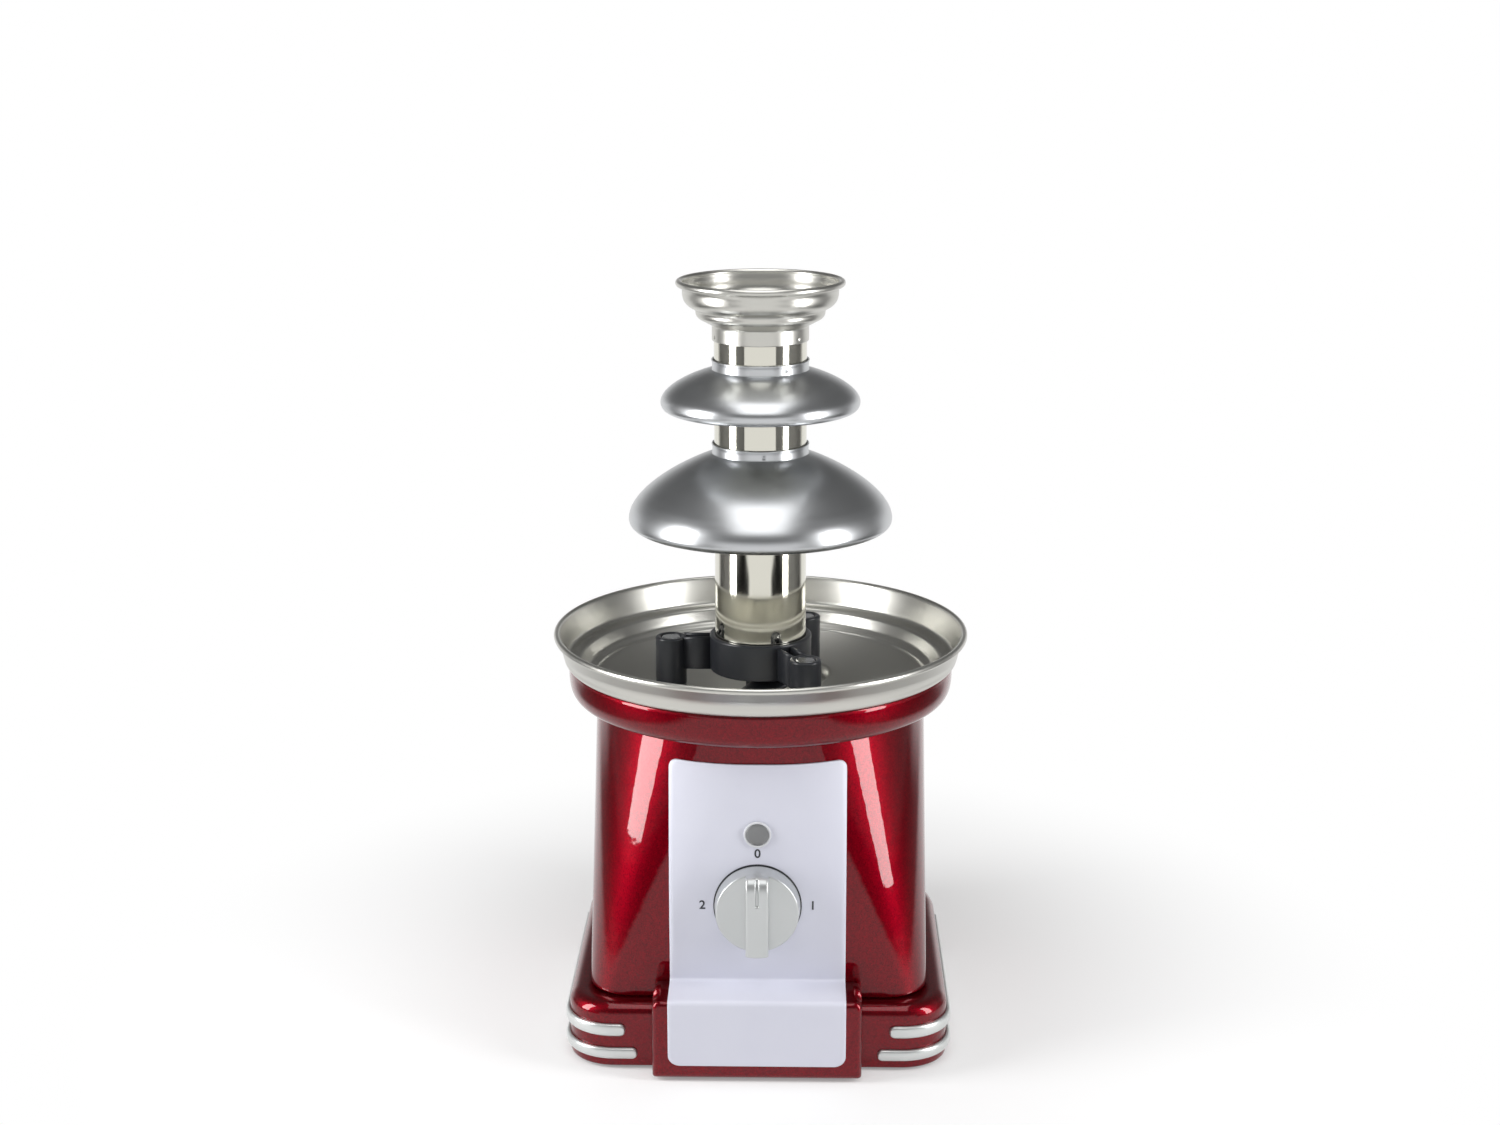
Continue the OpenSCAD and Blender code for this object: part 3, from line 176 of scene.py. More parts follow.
# Base: deep glowing red below, sharp white reflections on top
candy_lacquer, tree, shader = new_finish(
    "candy_lacquer_on_abs", Metallic=0.88, Roughness=0.4, Specular_IOR_Level=0.0,
    Coat_Weight=1.0, Coat_Roughness=0.03, Coat_IOR=1.4
)
place = add(tree, "TexCoord").outputs["Object"]
flake = add(tree, "TexVoronoi", {"Vector": place, "Scale": per_metre(FLAKE_MM)})
two_tone(tree, shader, flake.outputs["Color"], "#55000d", "#820113")
emboss(tree, shader, "Normal", flake.outputs["Distance"], 0.05, 0.1)
emboss(tree, shader, "Coat Normal", noise(tree, place, PEEL_MM, 1.0), 0.1, 0.4)

# %% [markdown]
# ## Steel
# The steels share one metal and differ in how they were worked. The spun pieces turned under a tool, so their
# marks run round the axis: a noise that only depends on radius and height gives rings. The tube was drawn and
# polished, so its faint marks run along it. Real marks are about 0.2 mm apart and would not show, so they are
# drawn a few millimetres wide.

# %% Steel
SMEAR_MM = 28  # patches that hands and polish leave
STREAK = 250  # length of a drawn mark over its width


def worked_steel(name, colour, roughness, spread, mark_mm, depth_mm, ringed=True):
    """Steel with tool marks: rings in radius and height when ringed, else lines along the axis."""
    material, tree, shader = new_finish(name, Metallic=1.0, Base_Color=paint(colour))
    place = add(tree, "TexCoord").outputs["Object"]
    if ringed:
        flat = add(tree, "VectorMath", {0: place, 1: (1, 1, 0)}, operation="MULTIPLY")
        radius = add(tree, "VectorMath", {0: flat.outputs["Vector"]}, operation="LENGTH")
        height = add(tree, "SeparateXYZ", {"Vector": place})
        marks_at = add(tree, "CombineXYZ", {"X": radius.outputs["Value"], "Y": height.outputs["Z"]})
    else:
        marks_at = add(tree, "VectorMath", {0: place, 1: (1, 1, 1 / STREAK)}, operation="MULTIPLY")
    marks = noise(tree, marks_at.outputs["Vector"], mark_mm, 1.0)
    wear = combine(tree, "ADD", marks, noise(tree, place, SMEAR_MM))
    rough = ramp(tree, wear, 0.6, 1.4, roughness - spread, roughness + spread, "LINEAR")
    tree.links.new(rough, shader.inputs["Roughness"])
    emboss(tree, shader, "Normal", marks, 0.5, depth_mm)
    return material


# Domes: wide soft reflections with faint rings
spun_steel = worked_steel("spun_stainless_steel", "#c6c8ca", 0.31, 0.02, 3.2, 0.0006)
# Bowl and crown: the same rings, a little warmer
pressed_steel = worked_steel("pressed_stainless_steel", "#cac9c3", 0.32, 0.02, 3.2, 0.0006)
# Tube: almost a mirror, with faint upright streaks
drawn_tube = worked_steel("polished_stainless_tube", "#d9d7cc", 0.08, 0.02, 2.4, 0.0003, ringed=False)
# Pins: bright, with clear turning marks
bright_bar = worked_steel("bright_turned_steel", "#d0d2d3", 0.16, 0.04, 1.6, 0.003)
# Shafts: darker and duller
dark_bar = worked_steel("dark_turned_steel", "#8a8d90", 0.28, 0.05, 1.6, 0.004)

# %% [markdown]
# ## Moulded, painted and plated finishes
# Most other surfaces are one colour with a fine grain: a spark-eroded mould gives plastic a pebbled skin,
# paint leaves a soft orange peel, and plating follows the metal below. A noise of the grain's width drives
# the roughness and a small bump. Real grain is 0.05 to 0.2 mm wide, so it is drawn wider to show.

# %% Grained finishes
DRIFT_MM = 24  # patches of slightly other colour
GRAIN_SPREAD = 0.05


def grained(name, colour, other, roughness, grain_mm, depth_mm, **sockets):
    """One colour that drifts slowly to another, with a grain of that width and depth."""
    material, tree, shader = new_finish(name, **sockets)
    place = add(tree, "TexCoord").outputs["Object"]
    two_tone(tree, shader, noise(tree, place, DRIFT_MM), colour, other)
    grain = noise(tree, place, grain_mm)
    rough = ramp(tree, grain, 0.3, 0.7, roughness - GRAIN_SPREAD, roughness + GRAIN_SPREAD, "LINEAR")
    tree.links.new(rough, shader.inputs["Roughness"])
    emboss(tree, shader, "Normal", grain, 0.4, depth_mm)
    return material


# Hub: near-black with a soft sheen; the same dark ring under the knob is painted shadow
charcoal_nylon_and_shadow = grained("charcoal_nylon_and_painted_shadow", "#26282c", "#2d2f34", 0.34, 0.7, 0.02)
# Screw: near-black, a little duller
auger_nylon = grained("black_moulded_nylon", "#292b2f", "#323439", 0.42, 0.8, 0.02)
# Knob: even silver that still shows light and dark
satin_silver = grained("satin_silver_lacquer", "#bfc2c2", "#cacccc", 0.33, 0.5, 0.01, Metallic=0.7)
# Panel: pale, matt and slightly blue
panel_film = grained("silver_grey_panel_film", "#cdcedb", "#d3d4df", 0.42, 0.4, 0.004)
# Trim: a brighter silver with the knob's sheen
satin_trim = grained("satin_silver_plating", "#cbcecd", "#d5d7d6", 0.33, 0.5, 0.01, Metallic=0.7)
# Lamp ring: pale and glossy
bezel_plastic = grained("pale_gloss_abs", "#cbccd0", "#d3d4d8", 0.22, 0.8, 0.004)
# Lens: grey with a hard shine, as of a lamp that is off
lens_plastic = grained("smoked_polycarbonate", "#696a6b", "#757677", 0.18, 1.2, 0.01, Coat_Weight=0.6)
# Cover, gland and gearbox: dull black
cover_plastic = grained("black_moulded_polypropylene", "#1d1e20", "#26272a", 0.48, 0.8, 0.03)
# Feet: black with almost no shine
foot_rubber = grained("black_rubber", "#17181a", "#222326", 0.7, 0.6, 0.02)
# Numbers: flat dark print
dial_ink = grained("dark_screen_ink", "#26282d", "#303237", 0.55, 0.3, 0.002)
# Screws, nuts and plates: pale grey metal
zinc_plate = grained("zinc_plated_steel", "#b4b7ba", "#c2c4c6", 0.3, 0.8, 0.006, Metallic=1.0)
# Heat shield: soft grey metal
sheet_aluminium = grained("mill_finish_aluminium", "#b9bbbd", "#c8cacb", 0.34, 0.6, 0.006, Metallic=1.0)
# Heater: brown-grey and dull
heater_oxide = grained("oxidised_heater_sheath", "#55514d", "#6b655f", 0.5, 0.9, 0.02, Metallic=0.8)
# Switch and thermostat: cream and matt
cream_resin = grained("cream_phenolic_resin", "#ddd8ca", "#e6e2d6", 0.42, 0.8, 0.01)
# Gears: off-white and slightly waxy
gear_acetal = grained("natural_acetal", "#e8e4d8", "#f0ede3", 0.36, 0.8, 0.01)
# Bushes and pinion: yellow metal
turned_brass = grained("turned_brass", "#b08f4c", "#bd9d5b", 0.26, 0.5, 0.006, Metallic=1.0)
# Seal: brick red and matt
seal_silicone = grained("red_silicone", "#7c2a20", "#8d3427", 0.5, 0.8, 0.01)

# %% [markdown]
# ## Surfaces from arrays
# Every new piece is a grid of points: rows run along one parameter and columns along the other, and quads
# join the neighbours. A ring closes the columns, a closed section closes the rows. Doubles at seams and
# poles are merged and the faces turned outwards before the piece rides on its body.

# %% Grid and piece
MERGE_MM = 0.002


def stacked(*coordinates):
    """Points with these coordinates, which are stretched to one shape."""
    return np.stack(np.broadcast_arrays(*coordinates), axis=-1)


def grid(points, loop=False, around=False):
    """Quads over points[i, j]. loop joins the last row to the first, around the last column to the first."""
    rows, columns = points.shape[:2]
    index = np.arange(rows * columns).reshape(rows, columns)
    index = np.vstack([index, index[:1]]) if loop else index
    index = np.hstack([index, index[:, :1]]) if around else index
    quads = np.stack([index[:-1, :-1], index[:-1, 1:], index[1:, 1:], index[1:, :-1]], axis=-1)
    return points.reshape(-1, 3), quads.reshape(-1, 4)


def mount(name, mesh, finish, body, stands_for=()):
    """Puts a mesh with its finish into the scene, riding on a body and standing for CAD nodes."""
    mesh.materials.clear()
    mesh.materials.append(finish)
    made = bpy.data.objects.new(name, mesh)
    scene.collection.objects.link(made)
    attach(made, body)
    if stands_for:
        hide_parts(*stands_for)
    print(f"piece: {name}, {len(mesh.polygons)} faces")


def piece(name, body, finish, parts, stands_for=()):
    """Joins parts, each (points in mm, quads), into one smooth mesh that rides on a body."""
    starts = np.cumsum([0] + [len(points) for points, _ in parts[:-1]])
    points = np.vstack([points for points, _ in parts]) * MM
    quads = np.vstack([quads + start for (_, quads), start in zip(parts, starts)])
    mesh = bpy.data.meshes.new(name)
    mesh.from_pydata(points.tolist(), [], quads.tolist())
    shape = bmesh.new()
    shape.from_mesh(mesh)
    bmesh.ops.remove_doubles(shape, verts=shape.verts, dist=MERGE_MM * MM)
    bmesh.ops.recalc_face_normals(shape, faces=shape.faces)
    shape.to_mesh(mesh)
    shape.free()
    mesh.shade_smooth()
    mount(name, mesh, finish, body, stands_for)


# %% Outlines
END_POINTS = 5  # points round the end of a sheet


def bezier(a, b, c, d, count=12):
    """Cubic curve (1-t)^3 a + 3(1-t)^2 t b + 3(1-t) t^2 c + t^3 d."""
    t = np.linspace(0, 1, count)[:, None]
    a, b, c, d = (np.asarray(p, float) for p in (a, b, c, d))
    return (1 - t) ** 3 * a + 3 * (1 - t) ** 2 * t * b + 3 * (1 - t) * t**2 * c + t**3 * d


def arc(centre, radius, start, end, count=12):
    """Points centre + radius (cos a, sin a) for a from start to end, in degrees."""
    a = np.radians(np.linspace(start, end, count))
    return np.asarray(centre) + radius * stacked(np.cos(a), np.sin(a))


def eased(points, radius, steps=6, closed=False):
    """Outline whose corners are eased: each becomes (1-t)^2 a + 2t(1-t) p + t^2 b between points a and b that
    lie a radius before and after it. One more point beyond each keeps the flats flat when shaded."""
    p = np.asarray(points, float)
    sides = np.roll(p, 1, 0) - p, np.roll(p, -1, 0) - p
    lengths = [np.maximum(np.linalg.norm(side, axis=1), 1e-9) for side in sides]
    cuts = [side * (np.minimum(radius, 0.4 * n) / n)[:, None] for side, n in zip(sides, lengths)]
    a, b = (p + cut for cut in cuts)
    hold_a, hold_b = (p + 1.2 * cut for cut in cuts)
    t = np.linspace(0, 1, steps)[None, :, None]
    curve = (1 - t) ** 2 * a[:, None] + 2 * t * (1 - t) * p[:, None] + t**2 * b[:, None]
    curve = np.concatenate([hold_a[:, None], curve, hold_b[:, None]], axis=1)
    if closed:
        return curve.reshape(-1, 2)
    return np.vstack([p[:1], curve[1:-1].reshape(-1, 2), p[-1:]])


def walled(path, thickness):
    """Closed outline of a sheet on the left of an open path (on the right if thickness is negative), with a
    half circle at each end, and the sheet's middle line at the same places."""
    path = path[np.r_[True, np.linalg.norm(np.diff(path, axis=0), axis=1) > 0.001]]
    ahead = np.gradient(path, axis=0)
    ahead /= np.linalg.norm(ahead, axis=1, keepdims=True)
    left = stacked(-ahead[:, 1], ahead[:, 0]) * np.sign(thickness)
    t = abs(thickness)
    a = np.linspace(0, np.pi, END_POINTS + 2)[1:-1, None]
    tail = path[-1] + t / 2 * (left[-1] * (1 - np.cos(a)) + ahead[-1] * np.sin(a))
    head = path[0] + t / 2 * (left[0] * (1 + np.cos(a)) - ahead[0] * np.sin(a))
    outline = np.vstack([path, tail, (path + t * left)[::-1], head])
    middle = path + t / 2 * left
    ends = [np.repeat(middle[[end]], END_POINTS, axis=0) for end in (-1, 0)]
    return outline, np.vstack([middle, ends[0], middle[::-1], ends[1]])


# %% Turned surfaces
def polar(r, a, z):
    """Points at radius r, angle a and height z round the drive axis."""
    return stacked(r * np.cos(a), r * np.sin(a), z)


def ring(inner, outer, low, high, ease, steps):
    """Eased section of a ring, between two radii and two heights."""
    return eased([(inner, low), (outer, low), (outer, high), (inner, high)], ease, steps, closed=True)


def turned(profile, count=192, centre=(0, 0), closed=True):
    """Points centre + r (cos a, sin a) at height z, for each (r, z) of a profile and angles a all round."""
    a = np.linspace(0, 2 * np.pi, count, endpoint=False)
    r, z = np.asarray(profile, float).T[:, :, None]
    return grid(polar(r, a, z) + [*centre, 0], loop=closed, around=True)


# %% [markdown]
# ## Body and plinth
# The shell starts square with rounded corners and ends round. Every outline here is a set of corner centres,
# radii and outward directions, so a level between foot and top is the weighted mean of the two: flat faces
# shrink to nothing and corners open into cones. The plinth is the same outline carried straight up.

# %% Plan outlines
BODY_FOOT = (160.0, 157.0)
BODY_TOP_R = 79.5
BODY_CORNERS = (20.0, 40.0)
BODY_EDGE = 0.5
WALL = 2.5
FLAT_HOLD = 1.5


def plan(width, depth, front_r, rear_r, count=32):
    """Corner centres, radii and outward directions round a rectangle with rounded corners, from the right.
    One more point along the flat on each side of a corner keeps the flats flat when shaded."""
    turns = np.radians(np.r_[0, np.linspace(0, 90, count), 90])
    angle = np.concatenate([turns + k * np.pi / 2 for k in range(4)])
    side = np.repeat([[1, 1], [-1, 1], [-1, -1], [1, -1]], len(turns), axis=0)
    radius = np.repeat([rear_r, rear_r, front_r, front_r], len(turns))
    out = stacked(np.cos(angle), np.sin(angle))
    centre = side * (np.array([width, depth]) / 2 - radius[:, None])
    along = stacked(-out[:, 1], out[:, 0])
    hold = np.tile(np.r_[-FLAT_HOLD, np.zeros(count), FLAT_HOLD], 4)
    return centre + hold[:, None] * along, radius, out


def wrapped(section, outline, share=None, top_r=0.0):
    """Carries a section of (growth, z) round an outline: (1 - s) (centre + radius n) + s top_r n + growth n,
    where s is the share of the way to the round top at that height."""
    centre, radius, out = outline
    grow, z = np.asarray(section, float).T[:, :, None]
    s = np.zeros_like(z) if share is None else share(z)
    reach = (1 - s) * radius + s * top_r + grow
    xy = (1 - s)[..., None] * centre + reach[..., None] * out
    return grid(stacked(xy[..., 0], xy[..., 1], z), loop=True, around=True)


body_low, body_high = corners("body_shell")
plinth_low, plinth_high = corners("plinth")
body_foot, body_top = body_low[2], body_high[2]


def foot_edge(z, edge):
    """Section from the inner wall along a foot at z and round its outer edge."""
    return [[-WALL, z], [-edge, z], [-edge / 4, z + edge / 4], [0, z + edge]]


def body_share(z):
    """Share of the way from the square foot to the round top at height z."""
    return np.clip((z - body_foot - BODY_EDGE) / (body_top - body_foot - 2 * BODY_EDGE), 0, 1)


def body_front(x, z, grow=0.0):
    """Y of the body's front face at x and z: flat between the corner centres and an arc beyond them."""
    s = body_share(z)
    centre_x = (1 - s) * (BODY_FOOT[0] / 2 - BODY_CORNERS[0])
    centre_y = -(1 - s) * (BODY_FOOT[1] / 2 - BODY_CORNERS[0])
    radius = (1 - s) * BODY_CORNERS[0] + s * BODY_TOP_R + grow
    return centre_y - np.sqrt(radius**2 - np.maximum(np.abs(x) - centre_x, 0) ** 2)


print("body front at half height:", round(float(body_front(0.0, (body_foot + body_top) / 2)), 2))

# %% Body shell and plinth
SHELL_EDGE = 0.6
shell_side = np.linspace((0, body_foot + 1), (0, body_top - 1), 40)
shell_section = np.vstack([
    foot_edge(body_foot, SHELL_EDGE),
    shell_side,
    [[0, body_top - SHELL_EDGE], [-SHELL_EDGE, body_top], [-WALL, body_top]],
    (shell_side - [WALL, 0])[::-4],
])
body_plan = plan(*BODY_FOOT, *BODY_CORNERS)
piece(
    "body_shell_skin", "base", candy_lacquer,
    [wrapped(shell_section, body_plan, body_share, BODY_TOP_R)], ["body_shell"],
)

PLINTH_CORNERS = (22.0, 49.3)
PLINTH_EDGE, PLINTH_ROUND, PLINTH_LEDGE = 0.8, 6.0, 14.5
plinth_plan = plan(*(plinth_high - plinth_low)[:2], *PLINTH_CORNERS)
skirt_z, ledge_top = plinth_low[2], plinth_high[2]
round_z = ledge_top - PLINTH_ROUND
plinth_section = np.vstack([
    foot_edge(skirt_z, PLINTH_EDGE),
    [[0, skirt_z + 2]],
    np.linspace((0, skirt_z + 4), (0, round_z - 0.5), 6),
    arc((-PLINTH_ROUND, round_z), PLINTH_ROUND, 0, 90, 10),
    [[-PLINTH_ROUND - 1, ledge_top], [-PLINTH_LEDGE, ledge_top], [-PLINTH_LEDGE, ledge_top - WALL],
     [-WALL, ledge_top - WALL - 4]],
])
piece("plinth_skin", "base", candy_lacquer, [wrapped(plinth_section, plinth_plan)], ["plinth"])

# %% [markdown]
# ## Front box
# The box carries the panel's foot. It is a rounded door-shaped section pushed back from its front face until
# it meets the body. The front rows draw the section in along a quarter circle, which rounds the front edge.

# %% Front box
box_low, box_high = corners("front_box")
SEAT = 0.05  # gap between pieces that rest on each other
BOX_ROUND, BOX_SHOULDER, BOX_FOOT = 3.0, 4.2, 1.8
BOX_OUT, BOX_DEPTH = 12.9, 25.0


def box_outline(inset, foot):
    """Section of the box in X and Z, drawn in by inset: straight sides with eased corners."""
    half, top, low = box_high[0] - inset, box_high[2] - inset, foot + inset
    corner_r = np.repeat([BOX_FOOT, BOX_SHOULDER, BOX_FOOT], 2)
    points = [(0, low), (half, low), (half, top), (-half, top), (-half, low), (0, low)]
    return eased(points, corner_r, 9)[:-1]


quarter = np.radians(np.linspace(90, 0, 7))[1:]
insets = np.r_[BOX_ROUND + 1, BOX_ROUND, BOX_ROUND * (1 - np.cos(quarter)), 0, 0, 0, 0]
depths = np.r_[0, 0, BOX_ROUND * (1 - np.sin(quarter)), 4, BOX_OUT, BOX_OUT, BOX_DEPTH]
feet = np.r_[np.full(len(insets) - 2, box_low[2]), np.full(2, plinth_high[2] + SEAT)]
sections = np.stack([box_outline(inset, foot) for inset, foot in zip(insets, feet)])
box_rows = stacked(sections[..., 0], (box_low[1] + depths)[:, None], sections[..., 1])
front_cap, rear_cap = (np.broadcast_to(row.mean(axis=0), (1, *row.shape)) for row in box_rows[[0, -1]])
piece(
    "front_box_skin", "base", candy_lacquer,
    [grid(np.concatenate([front_cap, box_rows, rear_cap]), around=True)], ["front_box"],
)

# %% [markdown]
# ## Bowl collar
# A red ring flares from the body's top to the bowl's ledge. It is one curve with a wall's thickness, turned
# round the drive axis, and its upper edge is round so that a dark joint shows under the steel.

# %% Bowl collar
collar_low, collar_high = corners("bowl_collar")
COLLAR_GAP = 0.3
collar_foot = np.array([BODY_TOP_R + COLLAR_GAP + WALL, collar_low[2]])
collar_top = np.array([collar_high[0], collar_high[2] - WALL / 2])
belly = collar_foot + [0.95 * (collar_top[0] - collar_foot[0]), 1]
collar_path = bezier(collar_foot, belly, collar_top - [0, 12], collar_top, 40)
piece(
    "bowl_collar_ring", "base", candy_lacquer,
    [turned(walled(collar_path, WALL)[0], 256)], ["bowl_collar"],
)

# %% [markdown]
# ## Bowl
# The bowl is pressed from one sheet: a dished floor, a stepped shoulder, a flared wall and a rolled rim. One
# outline runs along the upper face, round the bead and back along the lower face. The seats of the pins are
# pressed in afterwards: near each pin the sheet sinks to one level, and a smooth step joins it to the floor.

# %% Bowl
bowl_low, bowl_high = corners("bowl")
pin_low, pin_high = corners("locating_pins")
SHEET, BEAD_R, BORE_R = 1.0, 1.5, 7.1
DISH_R, DISH_FLAT_R, DISH_DEPTH = 80.0, 14.0, 16.0
WALL_FOOT_R, WALL_TOP_R, WALL_H = 93.5, 96.7, 14.0
PIN_CIRCLE_R, PAD_R, PAD_BLEND, STUD_L = 43.5, 11.0, 1.6, 6.0
PIN_ANGLES = np.radians([180, 60, -60])
pins_at = PIN_CIRCLE_R * stacked(np.cos(PIN_ANGLES), np.sin(PIN_ANGLES))
floor_z, pad_z = bowl_low[2] + SHEET, pin_low[2] + STUD_L
dish_top, shelf_z = floor_z + DISH_DEPTH, bowl_high[2] - WALL_H


def dish_z(r):
    """Floor level: flat in the middle, then rising with the square of the distance."""
    return floor_z + DISH_DEPTH * (np.maximum(r - DISH_FLAT_R, 0) / (DISH_R - DISH_FLAT_R)) ** 2


def shoulder(u, v):
    """Point at shares of the shoulder's width and height."""
    return (DISH_R + u * (WALL_FOOT_R - DISH_R), dish_top + v * (shelf_z - dish_top))


def step(low, high, x):
    """Smooth step 3t^2 - 2t^3 from 0 at low to 1 at high."""
    t = np.clip((x - low) / (high - low), 0, 1)
    return t * t * (3 - 2 * t)


def press_pads(points, quads):
    """Sinks the sheet near each pin by its height over the pad, times a smooth step of the distance."""
    reach = np.linalg.norm(points[:, None, :2] - pins_at, axis=-1).min(axis=1)
    drop = np.maximum(dish_z(np.hypot(points[:, 0], points[:, 1])) - pad_z, 0)
    return points - stacked(0, 0, drop * step(PAD_R + PAD_BLEND, PAD_R, reach)), quads


floor_r = np.r_[BORE_R, 10, 13, np.linspace(15, 30, 10), np.linspace(31, 57, 34), np.linspace(58.5, 79.2, 16)]
dish_path = stacked(floor_r, dish_z(floor_r))
wall_path = eased([
    shoulder(0, 0), shoulder(0.06, 0.14), shoulder(0.29, 0.29), shoulder(0.40, 0.62), shoulder(0.52, 0.95),
    shoulder(0.72, 1), shoulder(0.97, 1), (WALL_FOOT_R + 0.6, shelf_z + 1.1), (WALL_TOP_R, bowl_high[2] - 1.9)
], 1.1, 5)
upper = np.vstack([dish_path, wall_path])
lower = walled(upper, -SHEET)[0][len(upper) + END_POINTS + 1:-END_POINTS]
bead = arc((bowl_high[1] - BEAD_R, bowl_high[2] - BEAD_R), BEAD_R, 150, -122, 24)
bowl = press_pads(*turned(np.vstack([upper, bead, lower]), 320))
piece("pressed_bowl", "base", pressed_steel, [bowl], ["bowl"])

# %% [markdown]
# ## Locating pins
# Three turned pins stand in the floor and carry the tower's legs. Each is one turned outline from its stud to
# its rounded top, so one function makes all three at their places.

# %% Locating pins
SHOULDER_R, SHOULDER_H, PIN_R, STUD_R = 7.8, 9.2, 4.75, 2.5
pin_seat = pad_z + SEAT
pin_shoulder = pin_seat + SHOULDER_H
pin_profile = eased([
    (0, pin_low[2]), (STUD_R, pin_low[2]), (STUD_R, pin_seat), (SHOULDER_R, pin_seat),
    (SHOULDER_R, pin_shoulder), (PIN_R, pin_shoulder), (PIN_R, pin_high[2]), (0, pin_high[2])
], 0.9)
piece(
    "turned_pins", "base", bright_bar,
    [turned(pin_profile, 64, centre, closed=False) for centre in pins_at], ["locating_pins"],
)

# %% [markdown]
# ## Control panel
# The panel is one sheet: a plate on the box, a bend, a ledge, and a face that wraps the body, so its upper
# corners lean back with the cones. Rows follow the sheet upwards and columns run across it and back along its
# inner side. Each row's half width gives the rounded corners, and the outermost columns round the edge.

# %% Control panel
panel_low, panel_high = corners("control_panel")
PANEL_T = 1.2
CORNER_TOP, CORNER_FOOT = 4.0, 5.0
BEND_R, CREASE_R = 2.4, 1.2
FACE_ROWS, COLUMNS = 46, 41
EDGE_IN, BACK_IN, NARROWEST = 0.4, 0.3, 0.1

plate_y, ledge_z = panel_low[1], box_high[2] + SEAT + PANEL_T
crease_y = float(body_front(0.0, ledge_z, SEAT + PANEL_T)) - CREASE_R


def panel_rows(depth):
    """Y and Z of the sheet's rows below the face, at a depth under its outer side."""
    foot = arc((0, panel_low[2] + CORNER_FOOT), CORNER_FOOT, 270, 360, 9)[:, 1]
    plate_z = np.r_[foot, np.linspace(foot[-1] + 2, ledge_z - BEND_R - 0.5, 8)]
    plate = stacked(plate_y + depth, plate_z)
    bend = arc((plate_y + BEND_R, ledge_z - BEND_R), BEND_R - depth, 180, 90, 9)
    crease = arc((crease_y, ledge_z + CREASE_R), CREASE_R + depth, -90, 0, 7)
    return np.vstack([plate, bend, crease])


face_foot = ledge_z + CREASE_R + 0.5
face_z = np.r_[np.linspace(face_foot, panel_high[2] - CORNER_TOP - 0.5, FACE_ROWS),
               arc((0, panel_high[2] - CORNER_TOP), CORNER_TOP, 0, 90, 9)[:, 1]]
row_z = np.r_[panel_rows(0)[:, 1], face_z]
low_in = np.maximum(panel_low[2] + CORNER_FOOT - row_z, 0)
high_in = np.maximum(row_z - panel_high[2] + CORNER_TOP, 0)
half_width = (panel_high[0] - CORNER_FOOT + np.sqrt(CORNER_FOOT**2 - low_in**2)
              - CORNER_TOP + np.sqrt(CORNER_TOP**2 - high_in**2))
span, edge_depth = np.linspace(-1, 1, COLUMNS), np.array([PANEL_T / 4, PANEL_T * 3 / 4])
column_share = np.r_[span, 1, 1, span[::-1], -1, -1]
column_in = np.r_[np.full(COLUMNS, EDGE_IN), 0, 0, np.full(COLUMNS, BACK_IN), 0, 0]
column_depth = np.r_[np.zeros(COLUMNS), edge_depth, np.full(COLUMNS, PANEL_T), edge_depth[::-1]]


def panel_point(x, depth):
    """Sheet points for columns at x (rows by columns) and a depth for each column."""
    bent = np.stack([panel_rows(d) for d in depth], axis=1)
    face_y = body_front(x[len(bent):], face_z[:, None], SEAT + PANEL_T - depth)
    yz = np.concatenate([bent, stacked(face_y, face_z[:, None])])
    return stacked(x, yz[..., 0], yz[..., 1])


panel_x = column_share * np.maximum(half_width[:, None] - column_in, NARROWEST)
edge_line = panel_point(panel_x, np.full(len(column_depth), PANEL_T / 2))
panel_points = np.concatenate([edge_line[:1], panel_point(panel_x, column_depth), edge_line[-1:]])
piece("bent_panel", "base", panel_film, [grid(panel_points, around=True)], ["control_panel"])

# %% [markdown]
# ## Lamp and knob
# These sit square on the panel's face. They are made lying flat, with Z as the distance out of the panel, and
# one function stands them up at their height. The knob's bar is a height over its disc: full along the lower
# half, falling to the pointer's end, with a groove and rounded edges. A dark ring below the knob is painted
# shadow, for the shade in the gap round it.

# %% On the panel
KNOB_Z, LAMP_Z = 79.0, 114.3
LIFT = 0.1  # pieces start this far out of the panel's face
FACE_LEAN = math.atan((BODY_TOP_R - BODY_FOOT[1] / 2) / (body_top - body_foot - 2 * BODY_EDGE))


def on_panel(part, z):
    """Stands a flat-lying part on the panel at height z: local X stays, Y turns up and Z out of the panel."""
    points, quads = part
    x, up, out = points.T
    y0 = float(body_front(0.0, z)) - PANEL_T
    c, s = math.cos(FACE_LEAN), math.sin(FACE_LEAN)
    return stacked(x, y0 - c * out - s * up, z + c * up - s * out), quads


# %% Lamp
LAMP_R, RING_W, RING_T, LENS_FOOT, LENS_T = 5.25, 1.1, 1.0, 0.55, 1.9
ring_profile = ring(LAMP_R + SEAT, LAMP_R + RING_W, LIFT, RING_T, 0.35, 5)
piece(
    "lamp_ring", "base", bezel_plastic,
    [on_panel(turned(ring_profile, 96), LAMP_Z)], ["lamp_bezel"],
)
lens_profile = np.vstack([
    [(0, LENS_FOOT), (LAMP_R, LENS_FOOT)],
    bezier((LAMP_R, RING_T), (0.85 * LAMP_R, 1.75), (0.4 * LAMP_R, LENS_T), (0, LENS_T), 14)
])
piece(
    "lamp_dome", "base", lens_plastic,
    [on_panel(turned(lens_profile, 96, closed=False), LAMP_Z)], ["lamp_lens"],
)

